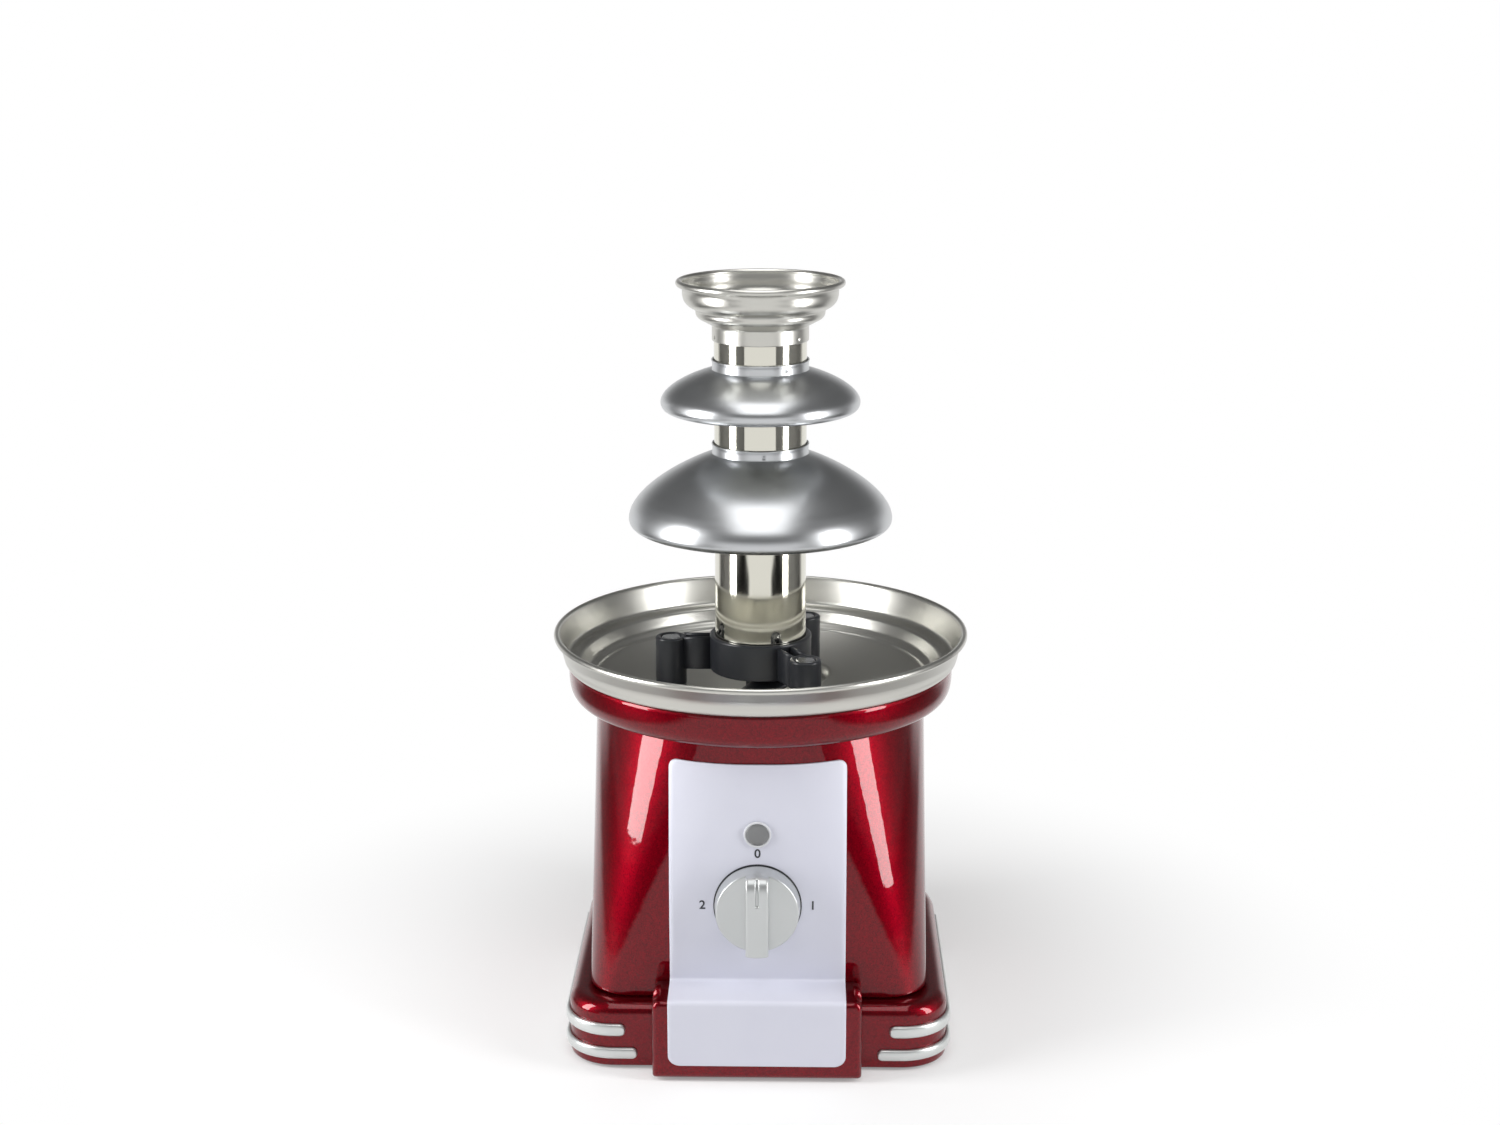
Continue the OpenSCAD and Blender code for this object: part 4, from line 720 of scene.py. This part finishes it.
# %% Knob
KNOB_R, KNOB_GAP, KNOB_TAPER, DISC_T = 20.0, 0.5, 0.8, 9.0
BAR_H, BAR_W, BAR_EDGE, BAR_SINK, BAR_IN = 7.0, 10.5, 1.2, 0.6, 0.9
TAIL_AT, TAIL_L, TAIL_DROP = 18.2, 1.7, 1.6
GROOVE_DEPTH, GROOVE_SIDE = 0.8, (0.95, 0.6)
GROOVE_START, GROOVE_END = (5.5, 6.6), (18.6, 17.4)
disc_top = KNOB_GAP + DISC_T
disc_profile = eased([(0, KNOB_GAP), (KNOB_R, KNOB_GAP), (KNOB_R - KNOB_TAPER, disc_top), (0, disc_top)], 0.9)


def bar_height(v):
    """Top of the bar along it: level, then a smooth fall towards the pointer's end, and a rounded tail."""
    nose = bezier((10, BAR_H), (15.5, BAR_H), (18.6, 0.7 * BAR_H), (19.6, 0.3), 40)
    tail = 1 - np.sqrt(1 - np.clip((-TAIL_AT - v) / TAIL_L, 0, 1) ** 2)
    return disc_top + np.interp(v, nose[:, 0], nose[:, 1], left=BAR_H) - TAIL_DROP * tail


def grip_bar():
    """Rows run along the bar to the disc's edge, columns up one side, over the top and down the other."""
    half_w, foot_z = BAR_W / 2, disc_top - BAR_SINK
    turn = np.radians(np.linspace(0, 90, 6))
    edge_x, edge_drop = half_w - BAR_EDGE * (1 - np.cos(turn)), BAR_EDGE * (1 - np.sin(turn))
    flat_x = np.r_[3.2, 2.2, 1.5, 1.1, 0.9, 0.7, 0.5, 0.25]
    x = np.r_[half_w, edge_x, flat_x, 0, -flat_x[::-1], -edge_x[::-1], -half_w]
    drop = np.r_[0, edge_drop, np.zeros(2 * len(flat_x) + 1), edge_drop[::-1], 0]
    share = np.r_[np.linspace(-1, -0.9, 10), np.linspace(-0.86, 0.2, 16), np.linspace(0.24, 1, 44)]
    v = share[:, None] * np.sqrt((KNOB_R - BAR_IN) ** 2 - x**2)
    groove = GROOVE_DEPTH * step(*GROOVE_SIDE, np.abs(x)) * step(*GROOVE_START, v) * step(*GROOVE_END, v)
    z = np.maximum(bar_height(v) - drop - groove, foot_z + 0.1)
    z[:, [0, -1]] = foot_z
    rows = stacked(x, v, z)
    foot = rows[[0, -1]].copy()
    foot[..., 2] = foot_z
    return grid(np.concatenate([foot[:1], rows, foot[1:]]), around=True)


piece(
    "grip_knob", "knob", satin_silver,
    [on_panel(turned(disc_profile, 160, closed=False), KNOB_Z), on_panel(grip_bar(), KNOB_Z)], ["knob"],
)

# %% Painted shadow ring under the knob
# Dark ring round the knob's foot: painted shadow, for the shade in the gap between knob and panel
SHADOW_RING_R, SHADOW_RING_OUT_R, SHADOW_RING_TOP = 15.0, 20.5, 0.35
shadow_ring_profile = ring(SHADOW_RING_R, SHADOW_RING_OUT_R, LIFT, SHADOW_RING_TOP, 0.08, 4)
piece(
    "knob_painted_shadow_ring", "base", charcoal_nylon_and_shadow, [on_panel(turned(shadow_ring_profile, 160), KNOB_Z)]
)

# %% [markdown]
# ## Numbers on the dial
# Screen-printed numbers mark the knob's three places. They are Blender text, turned into a mesh with the
# thickness of a coat of ink, and stood on the flat part of the panel's face.

# %% Dial numbers
NUMBER_H, NUMBER_R = 6.0, 25.6
INK_T, INK_SPREAD = 0.03, 0.1


def dial_number(word, x, up):
    """Mesh of a short text, centred at x and up from the knob's axis on the panel's face."""
    letters = bpy.data.curves.new("number_" + word, "FONT")
    letters.body, letters.size = word, NUMBER_H
    letters.align_x, letters.align_y = "CENTER", "CENTER"
    letters.extrude, letters.offset = INK_T, INK_SPREAD
    flat = bpy.data.objects.new("flat_number", letters)
    scene.collection.objects.link(flat)
    mesh = bpy.data.meshes.new_from_object(flat.evaluated_get(bpy.context.evaluated_depsgraph_get()))
    bpy.data.objects.remove(flat)
    points = np.empty(len(mesh.vertices) * 3)
    mesh.vertices.foreach_get("co", points)
    points, _ = on_panel((points.reshape(-1, 3) + [x, up, LIFT], None), KNOB_Z)
    mesh.vertices.foreach_set("co", (points * MM).ravel())
    mesh.update()
    mount("dial_number_" + word, mesh, dial_ink, "base")


dial_number("0", 0, NUMBER_R)
dial_number("1", NUMBER_R, 0)
dial_number("2", -NUMBER_R, 0)

# %% [markdown]
# ## Trim strips
# Two satin strips wrap each front corner of the plinth. A strip is a rounded section carried along the
# plinth's edge, and at its ends the section's height follows a half circle. The left strips are the right
# ones mirrored; the normals are worked out after that, so they still point outwards.

# %% Trim strips
TRIM_T, TRIM_INSET, TRIM_ROWS = 2.0, 0.6, 60
edge_r = PLINTH_CORNERS[0]
edge_centre = np.array([plinth_high[0] - edge_r, plinth_low[1] + edge_r])
front_l, corner_l = edge_centre[0], edge_r * np.pi / 2


def plinth_edge(s):
    """Point and outward direction at distance s along the plinth from the middle of its front."""
    a = np.clip((s - front_l) / edge_r, 0, np.pi / 2)
    out = stacked(np.sin(a), -np.cos(a))
    point = edge_centre + edge_r * out
    point[..., 0] -= np.maximum(front_l - s, 0)
    point[..., 1] += np.maximum(s - front_l - corner_l, 0)
    return point, out


def trim_strip(name, side, node):
    """Strip with its section closed round, its ends drawn to a point along a half circle."""
    low, high = corners(node)
    half = (high[2] - low[2]) / 2 - TRIM_INSET
    start = min(abs(low[0]), abs(high[0]))
    end = front_l + corner_l + high[1] - edge_centre[1]
    turn = np.radians(np.linspace(0, 90, 12))
    cap = half * (1 - np.cos(turn))
    s = np.r_[start + cap, np.linspace(start + half + 1, end - half - 1, TRIM_ROWS), (end - cap)[::-1]]
    scale = np.r_[np.sin(turn), np.ones(TRIM_ROWS), np.sin(turn)[::-1]]
    swell = np.r_[0, TRIM_T * np.cos(np.linspace(-1.45, 1.45, 17)) ** 0.55, 0]
    across = np.r_[-1, np.sin(np.linspace(-np.pi / 2, np.pi / 2, 17)), 1]
    point, out = plinth_edge(s)
    reach = SEAT + swell * np.minimum(scale * 1.6, 1)[:, None]
    xy = point[:, None] + reach[..., None] * out[:, None]
    z = (low[2] + high[2]) / 2 + half * scale[:, None] * across
    points = stacked(side * xy[..., 0], xy[..., 1], z)
    piece(name, "base", satin_trim, [grid(points, around=True)], [node])


for level in ("upper", "lower"):
    for hand, side in (("right", 1), ("left", -1)):
        trim_strip(f"{level}_strip_{hand}", side, f"trim_{level}_{hand}")

# %% [markdown]
# ## Cable gland
# A black moulded gland closes the hole in the plinth's rear. It is one turned outline: a flange with a
# rounded edge, a mouth that widens outwards, and a throat that ends in the dark. It is made lying flat and
# stood on the rear face, with its axis pointing backwards.

# %% Cable gland
gland_low, gland_high = corners("cord_gland")
GLAND_R, MOUTH_R, THROAT_R, FLANGE_T = 9.0, 4.6, 3.6, 2.0
gland_z = (gland_low[2] + gland_high[2]) / 2
rear_y = gland_high[1] - FLANGE_T
gland_profile = eased([
    (0, 0.1), (THROAT_R, 0.1), (THROAT_R, 1.2), (MOUTH_R, FLANGE_T), (GLAND_R, FLANGE_T), (GLAND_R, 0), (0, 0)
], 0.8)
flat_gland, gland_quads = turned(gland_profile, 96, closed=False)
gland_points = flat_gland[:, [0, 2, 1]] * [-1, 1, 1] + [0, rear_y, gland_z]
piece("cable_gland", "base", cover_plastic, [(gland_points, gland_quads)], ["cord_gland"])

# %% [markdown]
# ## Tower hub
# The hub is moulded in one piece: a ring that holds the tube, three legs that slip over the pins, and channel
# arms between them. Ring and legs are turned; an arm is a folded sheet carried outwards, and its last rows
# draw in to the sheet's middle, which closes its ends.

# %% Tower hub
hub_low, hub_high = corners("tower_hub")
TUBE_R, TUBE_T = 22.0, 0.8
HUB_R, HUB_H, HUB_LIP = 24.65, 17.6, 2.0
LEG_R, LEG_BORE_R, LEG_H = 7.5, 5.0, 24.2
ARM_W, ARM_DROP, WEB, ARM_ROOT, ARM_TIP = 8.6, 1.2, 1.8, 1.4, 1.2
bore_r, tube_seat_r = TUBE_R - TUBE_T, TUBE_R + SEAT
hub_top = hub_high[2]
hub_z = hub_top - HUB_H
hub_profile = eased([
    (bore_r, hub_z), (HUB_R, hub_z), (HUB_R, hub_top), (tube_seat_r, hub_top),
    (tube_seat_r, hub_z + HUB_LIP), (bore_r, hub_z + HUB_LIP)
], 1.0, closed=True)
leg_profile = ring(LEG_BORE_R, LEG_R, hub_low[2], hub_low[2] + LEG_H, 1.0, 6)


def channel_arm(angle):
    """U-shaped section from the ring to a leg: two webs and a floor, folded from one sheet."""
    half, top = ARM_W / 2, hub_top - ARM_DROP - WEB / 2
    path = eased([(-half, top), (-half, hub_z), (half, hub_z), (half, top)], 1.2)
    outline, middle = walled(path, WEB)
    sections = np.stack([middle, outline, outline, middle])
    reach = np.repeat([HUB_R - ARM_ROOT, PIN_CIRCLE_R - LEG_R + ARM_TIP], 2)
    across, z = sections[..., 0], sections[..., 1]
    x = reach[:, None] * np.cos(angle) - across * np.sin(angle)
    y = reach[:, None] * np.sin(angle) + across * np.cos(angle)
    return grid(stacked(x, y, z), around=True)


piece(
    "moulded_hub", "tower", charcoal_nylon_and_shadow,
    [turned(hub_profile, 160)] + [turned(leg_profile, 72, centre) for centre in pins_at]
    + [channel_arm(angle) for angle in PIN_ANGLES], ["tower_hub"],
)

# %% [markdown]
# ## Tube, tiers and crown
# The tube is drawn; the tiers and the crown are spun from flat discs over a former, which leaves a thin even
# sheet. So each is one path with a wall's thickness, turned round the axis: a curled rim, a dome and a short
# collar that grips the tube, or for the crown a stepped cup that ends in a rolled bead. Three small dents,
# struck with a punch, lock each collar on the tube.

# %% Tube
tube_low, tube_high = corners("tower_tube")
tube_profile = ring(bore_r, TUBE_R, tube_low[2], tube_high[2], 0.3, 4)
piece("drawn_tube", "tower", drawn_tube, [turned(tube_profile, 192)], ["tower_tube"])

# %% Tiers
COLLAR_R = tube_seat_r + TUBE_T
CURL_R = 4.0
TIER_COLLAR, LIP_H, LIP_OUT = 4.8, 1.6, 0.35
STAKE_R, STAKE_FLAT, STAKE_DEPTH, STAKE_UP = 1.2, 0.2, 0.4, 1.8


def staked(part, z, first):
    """Presses three dents into a collar: a point moves towards the axis by the depth times a smooth step of
    its distance from the nearest dent. first is the angle of the first dent in degrees."""
    points, quads = part
    turns = np.radians(first + np.array([0, 120, 240]))
    reach = np.linalg.norm(points[:, None] - polar(COLLAR_R, turns, z), axis=-1).min(axis=1)
    draw = 1 - STAKE_DEPTH * step(STAKE_R, STAKE_FLAT, reach) / np.hypot(points[:, 0], points[:, 1])
    return points * stacked(draw, draw, 1.0), quads


def tier(name, node, rise, rim_pull, top_pull, top_slope, first_stake):
    """Spun tier in a node's place: a curl under the rim, a cubic dome and an upright collar with a slightly
    flared lip. The pulls say how far the dome follows its directions at rim and top. The collar has close
    rows where it is staked."""
    rim_r, _, lip_z = corners(node)[1]
    top = np.array([COLLAR_R, lip_z - TIER_COLLAR])
    rim_z = top[1] - rise
    curl = arc((rim_r - CURL_R, rim_z), CURL_R, -100, -8, 14)
    slope = math.radians(top_slope)
    inward = top + top_pull * np.array([math.cos(slope), -math.sin(slope)])
    dome = bezier((rim_r, rim_z), (rim_r, rim_z + rim_pull), inward, top, 64)
    crease = eased([dome[-2], top, top + [0, STAKE_UP]], 0.7, 5)[:-1]
    close = top + np.linspace((0, 0.95), (0, 2.25), 6)
    neck, lip = top + [0, TIER_COLLAR - LIP_H], top + [LIP_OUT, TIER_COLLAR - TUBE_T / 2]
    path = np.vstack([curl, dome[:-2], crease, close, eased([top, neck, lip], 0.7, 5)[1:]])
    part = staked(turned(walled(path, TUBE_T)[0], 320), top[1] + STAKE_UP, first_stake)
    piece(name, "tower", spun_steel, [part], [node])


tier("lower_dome", "lower_tier", rise=31.4, rim_pull=11, top_pull=20, top_slope=20, first_stake=-85)
tier("upper_dome", "upper_tier", rise=15.5, rim_pull=7, top_pull=8, top_slope=12, first_stake=-58)

# %% Crown
crown_low, crown_high = corners("crown_bowl")
CROWN_BEAD_R, CUP_STEP, CROWN_STAKE_UP = 1.55, 6.2, 2.2
crown_foot = crown_low[2]
cup_at = np.array([crown_high[0] - 2 * CROWN_BEAD_R, crown_high[2]])
step_at = cup_at - [CUP_STEP, 0]
cup_path = np.vstack([
    np.linspace((COLLAR_R, crown_foot + TUBE_T / 2), (COLLAR_R, crown_foot + 4), 12),
    eased([(COLLAR_R, crown_foot + 4.2), (COLLAR_R, tube_high[2] - 0.3), step_at - [2.2, 18.4]], 0.8, 5),
    bezier(*(step_at + [(-1.8, -18.2), (-0.8, -17.6), (0, -16.6), (0, -15)]), count=10),
    bezier(step_at + [0.5, -13.6], *(cup_at + [(-2, -12.2), (0, -10), (0, -6)]), count=14),
    [cup_at + [0.15, -3.4]],
])
crown_bead = arc(crown_high[[0, 2]] - CROWN_BEAD_R, CROWN_BEAD_R, -110, 200, 20)
cup_inside = walled(cup_path, TUBE_T)[0][-END_POINTS - len(cup_path):]
crown = turned(np.vstack([cup_path, crown_bead, cup_inside]), 320)
piece(
    "spun_crown", "tower", pressed_steel,
    [staked(crown, crown_foot + CROWN_STAKE_UP, -38)], ["crown_bowl"],
)

# %% [markdown]
# ## Auger
# The pump screw is moulded in one piece: a core and one right-hand flight that is thick at its root and thin
# at its edge. Cut across, it is a single outline, and every higher cut is the same outline turned further.
# So rows are levels and columns are the outline in polar form, and the socket's walls are further rows.

# %% Auger
auger_low, auger_high = corners("auger")
CORE_R, CORE_END_R, FLIGHT_R, PITCH = 7.2, 6.0, 20.2, 35.2
ROOT_T, TIP_T = 13.4, 1.4
TOP_ANGLE = math.radians(235)
SOCKET_R, SOCKET_FLAT, SOCKET_L = 3.4, 3.0, 19.0
SCREW_EDGE, SCREW_ROWS, CORE_POINTS = 0.3, 330, 24

root_half, tip_half = np.pi * np.array([ROOT_T, TIP_T]) / PITCH
flank_r = CORE_R + (FLIGHT_R - CORE_R) * (1 - np.cos(np.linspace(0, np.pi / 2, 14))) ** 0.85
flank_a = root_half + (tip_half - root_half) * (flank_r - CORE_R) / (FLIGHT_R - CORE_R)
core_a = np.linspace(root_half, 2 * np.pi - root_half, CORE_POINTS + 2)[1:-1]
cut_r = np.r_[flank_r, FLIGHT_R, flank_r[::-1], np.full(CORE_POINTS, CORE_R)]
cut_a = np.r_[-flank_a, 0, flank_a[::-1], core_a]
screw_foot, screw_top = auger_low[2], auger_high[2]
inner_z = np.linspace(screw_foot + SCREW_EDGE, screw_top - SCREW_EDGE, SCREW_ROWS)
screw_z = np.r_[screw_foot, inner_z, screw_top]
angles = (TOP_ANGLE + (screw_z - screw_top) / PITCH * 2 * np.pi)[:, None] + cut_a
end_in = np.r_[SCREW_EDGE, np.zeros(SCREW_ROWS), SCREW_EDGE]
outside = polar(cut_r - end_in[:, None], angles, screw_z[:, None])
socket_r = np.minimum(SOCKET_R, SOCKET_FLAT / np.maximum(np.abs(np.sin(angles[:1])), 1e-3))
socket_z = screw_foot + np.array([SOCKET_L, SOCKET_L - SCREW_EDGE, SCREW_EDGE, 0])
socket = polar(socket_r, angles[:1], socket_z[:, None])
socket_end = polar(0, angles[:1], socket_z[0])
core_end = polar(np.minimum(cut_r - SCREW_EDGE, CORE_END_R), angles[-1:], screw_top)
screw_end = polar(0, angles[-1:], screw_top)
piece(
    "pump_screw", "auger", auger_nylon,
    [grid(np.concatenate([socket_end, socket, outside, core_end, screw_end]), around=True)], ["auger"],
)

# %% [markdown]
# ## What keeps its own shape
# The feet, the cover, the drive stub and everything inside the base are already right as solids. They only
# get their finishes, by what each is made of.

# %% Finishes of the carried nodes
carried = [
    (foot_rubber, ["rubber_feet"]),
    (cover_plastic, ["bottom_cover", "gearbox_case", "gearbox_lid"]),
    (zinc_plate, ["base_screws", "switch_nut", "pin_nuts", "shield_screws", "chassis_plate", "chassis_screws",
                  "lid_screws", "motor_can", "motor_screws", "shaft_clip"]),
    (cream_resin, ["rotary_switch", "thermostat", "thermal_fuse", "terminal_block"]),
    (turned_brass, ["bowl_bush", "bush_nut", "lid_bush", "motor_pinion"]),
    (sheet_aluminium, ["heat_shield", "switch_spindle"]),
    (gear_acetal, ["idler_gear", "output_gear"]),
    (dark_bar, ["drive_shaft", "motor_shaft", "idler_pin"]),
    (seal_silicone, ["shaft_seal"]),
    (heater_oxide, ["heater_ring"]),
]
for finish, names in carried:
    for name in names:
        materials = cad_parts[name].data.materials
        materials.clear()
        materials.append(finish)
print("carried nodes:", sum(len(names) for _, names in carried))

# %% [markdown]
# ## Studio
# The photograph is a studio shot on white: two tall soft boxes in front, one on each side, a larger one above
# and a white sweep. The floor is a plain diffuse white near the object, where its shadow falls, and turns to
# an even white further out. Only camera, glossy and transmission rays see the white world; diffuse rays see a
# dimmer one, so that the lamps shape the object. Polished metal shows what stands round it, so dark cards on
# both sides draw its edges and a white card above brightens what faces up.

# %% Floor and world
SWEEP_HALF = 9.0
SHADOW_R, SWEEP_R, SHADOW_WHITE = 0.13, 0.34, 0.25
CEILING, CEILING_UP, DIFFUSE_LIGHT = 0.12, 0.36, 0.36
scene.view_settings.view_transform = "Standard"


def stand(name, paper, points, glossy_only=True):
    """Sheet through a grid of points in metres. One that only glossy rays see shapes reflections, lights
    nothing and casts no shadow."""
    flat_points, quads = grid(points)
    mesh = bpy.data.meshes.new(name)
    mesh.from_pydata(flat_points.tolist(), [], quads.tolist())
    mesh.materials.append(paper)
    sheet = bpy.data.objects.new(name, mesh)
    scene.collection.objects.link(sheet)
    for ray in ("camera", "diffuse", "shadow", "transmission"):
        setattr(sheet, "visible_" + ray, not glossy_only)
    print("stage:", name)


def level_sheet(half_x, half_y, z):
    """Corners of a level rectangle, as two rows of two points."""
    x, y = np.meshgrid([-half_x, half_x], [-half_y, half_y])
    return stacked(x, y, z)


# Sweep: white paper that takes a soft shadow and then melts into the background
sweep_paper = bpy.data.materials.new("white_paper_sweep")
sweep_paper.use_nodes = True
tree = sweep_paper.node_tree
tree.nodes.clear()
distance = add(tree, "VectorMath", {0: add(tree, "TexCoord").outputs["Object"]}, operation="LENGTH")
fade = ramp(tree, distance.outputs["Value"], SHADOW_R, SWEEP_R, SHADOW_WHITE)
rays = add(tree, "LightPath").outputs
seen = combine(tree, "ADD", rays["Is Camera Ray"], rays["Is Glossy Ray"])
seen = combine(tree, "ADD", seen, rays["Is Transmission Ray"])
matt = add(tree, "BsdfDiffuse", {"Color": paint("#f2f2f2")})
even = add(tree, "Emission")
mixed = add(tree, "MixShader", {
    0: combine(tree, "MULTIPLY", seen, fade), 1: matt.outputs["BSDF"], 2: even.outputs["Emission"]
})
add(tree, "OutputMaterial", {"Surface": mixed.outputs["Shader"]})
stand("studio_floor", sweep_paper, level_sheet(SWEEP_HALF, SWEEP_HALF, 0), glossy_only=False)

world = bpy.data.worlds.new("studio")
scene.world = world
world.use_nodes = True
tree = world.node_tree
tree.nodes.clear()
rays = add(tree, "LightPath").outputs
upward = add(tree, "SeparateXYZ", {"Vector": add(tree, "TexCoord").outputs["Generated"]})
ceiling = ramp(tree, upward.outputs["Z"], 0.0, CEILING_UP, 1.0, CEILING)
mirror = combine(tree, "ADD", rays["Is Glossy Ray"], rays["Is Transmission Ray"])
dim = add(tree, "Mix", {"Factor": mirror, 2: DIFFUSE_LIGHT, 3: ceiling})
bright = add(tree, "Mix", {"Factor": rays["Is Camera Ray"], 2: dim.outputs[0], 3: 1.0})
backdrop = add(tree, "Background", {"Color": (1, 1, 1, 1), "Strength": bright.outputs[0]})
add(tree, "OutputWorld", {"Surface": backdrop.outputs["Background"]})
print("floor and world are white to the camera")


# %% Soft boxes
def soft_box(name, place, aim, width, height, power):
    """Area lamp of width by height metres at place, turned to face aim."""
    lamp = bpy.data.lights.new(name, "AREA")
    lamp.shape, lamp.size, lamp.size_y = "RECTANGLE", width, height
    lamp.energy = power
    holder = bpy.data.objects.new(name, lamp)
    holder.location = place
    holder.rotation_euler = (Vector(aim) - Vector(place)).to_track_quat("-Z", "Y").to_euler()
    scene.collection.objects.link(holder)
    print("lamp:", name, power, "W")


soft_box("left_strip", (-0.54, -0.19, 0.33), (0, 0, 0.33), 0.175, 0.545, 3.9)
soft_box("right_strip", (0.52, -0.235, 0.306), (0, 0, 0.306), 0.135, 0.548, 2.8)
soft_box("top_box", (0, -0.55, 1.15), (0, 0, 0.2), 0.7, 0.5, 2.3)

# %% Cards
CARD_START, CARD_BEND, CARD_H = 0.32, 0.6, 0.6
CARD_FRONT, CARD_REAR = -0.75, 0.5
CARD_BLACK, CARD_GREY = 0.005, 0.24

# Cards: black along the floor and grey above, with soft ends, so that dark reflections fade out
card_paper, tree, shader = new_finish("grey_card", Roughness=0.9)
place = add(tree, "SeparateXYZ", {"Vector": add(tree, "TexCoord").outputs["Object"]}).outputs
shade = ramp(tree, place["Z"], 0.03, 0.05, CARD_BLACK, CARD_GREY, "LINEAR")
tree.links.new(shade, shader.inputs["Base Color"])
inner_fade = ramp(tree, combine(tree, "ABSOLUTE", place["X"]), CARD_START, CARD_START + 0.1)
rear_fade = ramp(tree, place["Y"], CARD_REAR, CARD_REAR / 2)
clear = add(tree, "BsdfTransparent")
soft_edge = add(tree, "MixShader", {
    0: combine(tree, "MULTIPLY", inner_fade, rear_fade), 1: clear.outputs["BSDF"], 2: shader.outputs["BSDF"]
})
tree.links.new(soft_edge.outputs["Shader"], tree.nodes["Material Output"].inputs["Surface"])

# Each dark card lies beside the object and then stands up
card_inner = np.array([(CARD_START, CARD_FRONT, MM), (CARD_START, CARD_REAR, MM)])
card_bend = card_inner + [CARD_BEND - CARD_START, 0, 0]
card_points = np.stack([card_inner, card_bend, card_bend + [0, 0, CARD_H]])
stand("left_card", card_paper, card_points * [-1, 1, 1])
stand("right_card", card_paper, card_points)

# Top card: an even white glow on what faces up
bright_paper, _, _ = new_finish("white_card", Emission_Color=(1, 1, 1, 1), Emission_Strength=1.7)
stand("top_card", bright_paper, level_sheet(0.26, 0.42, 1.05))
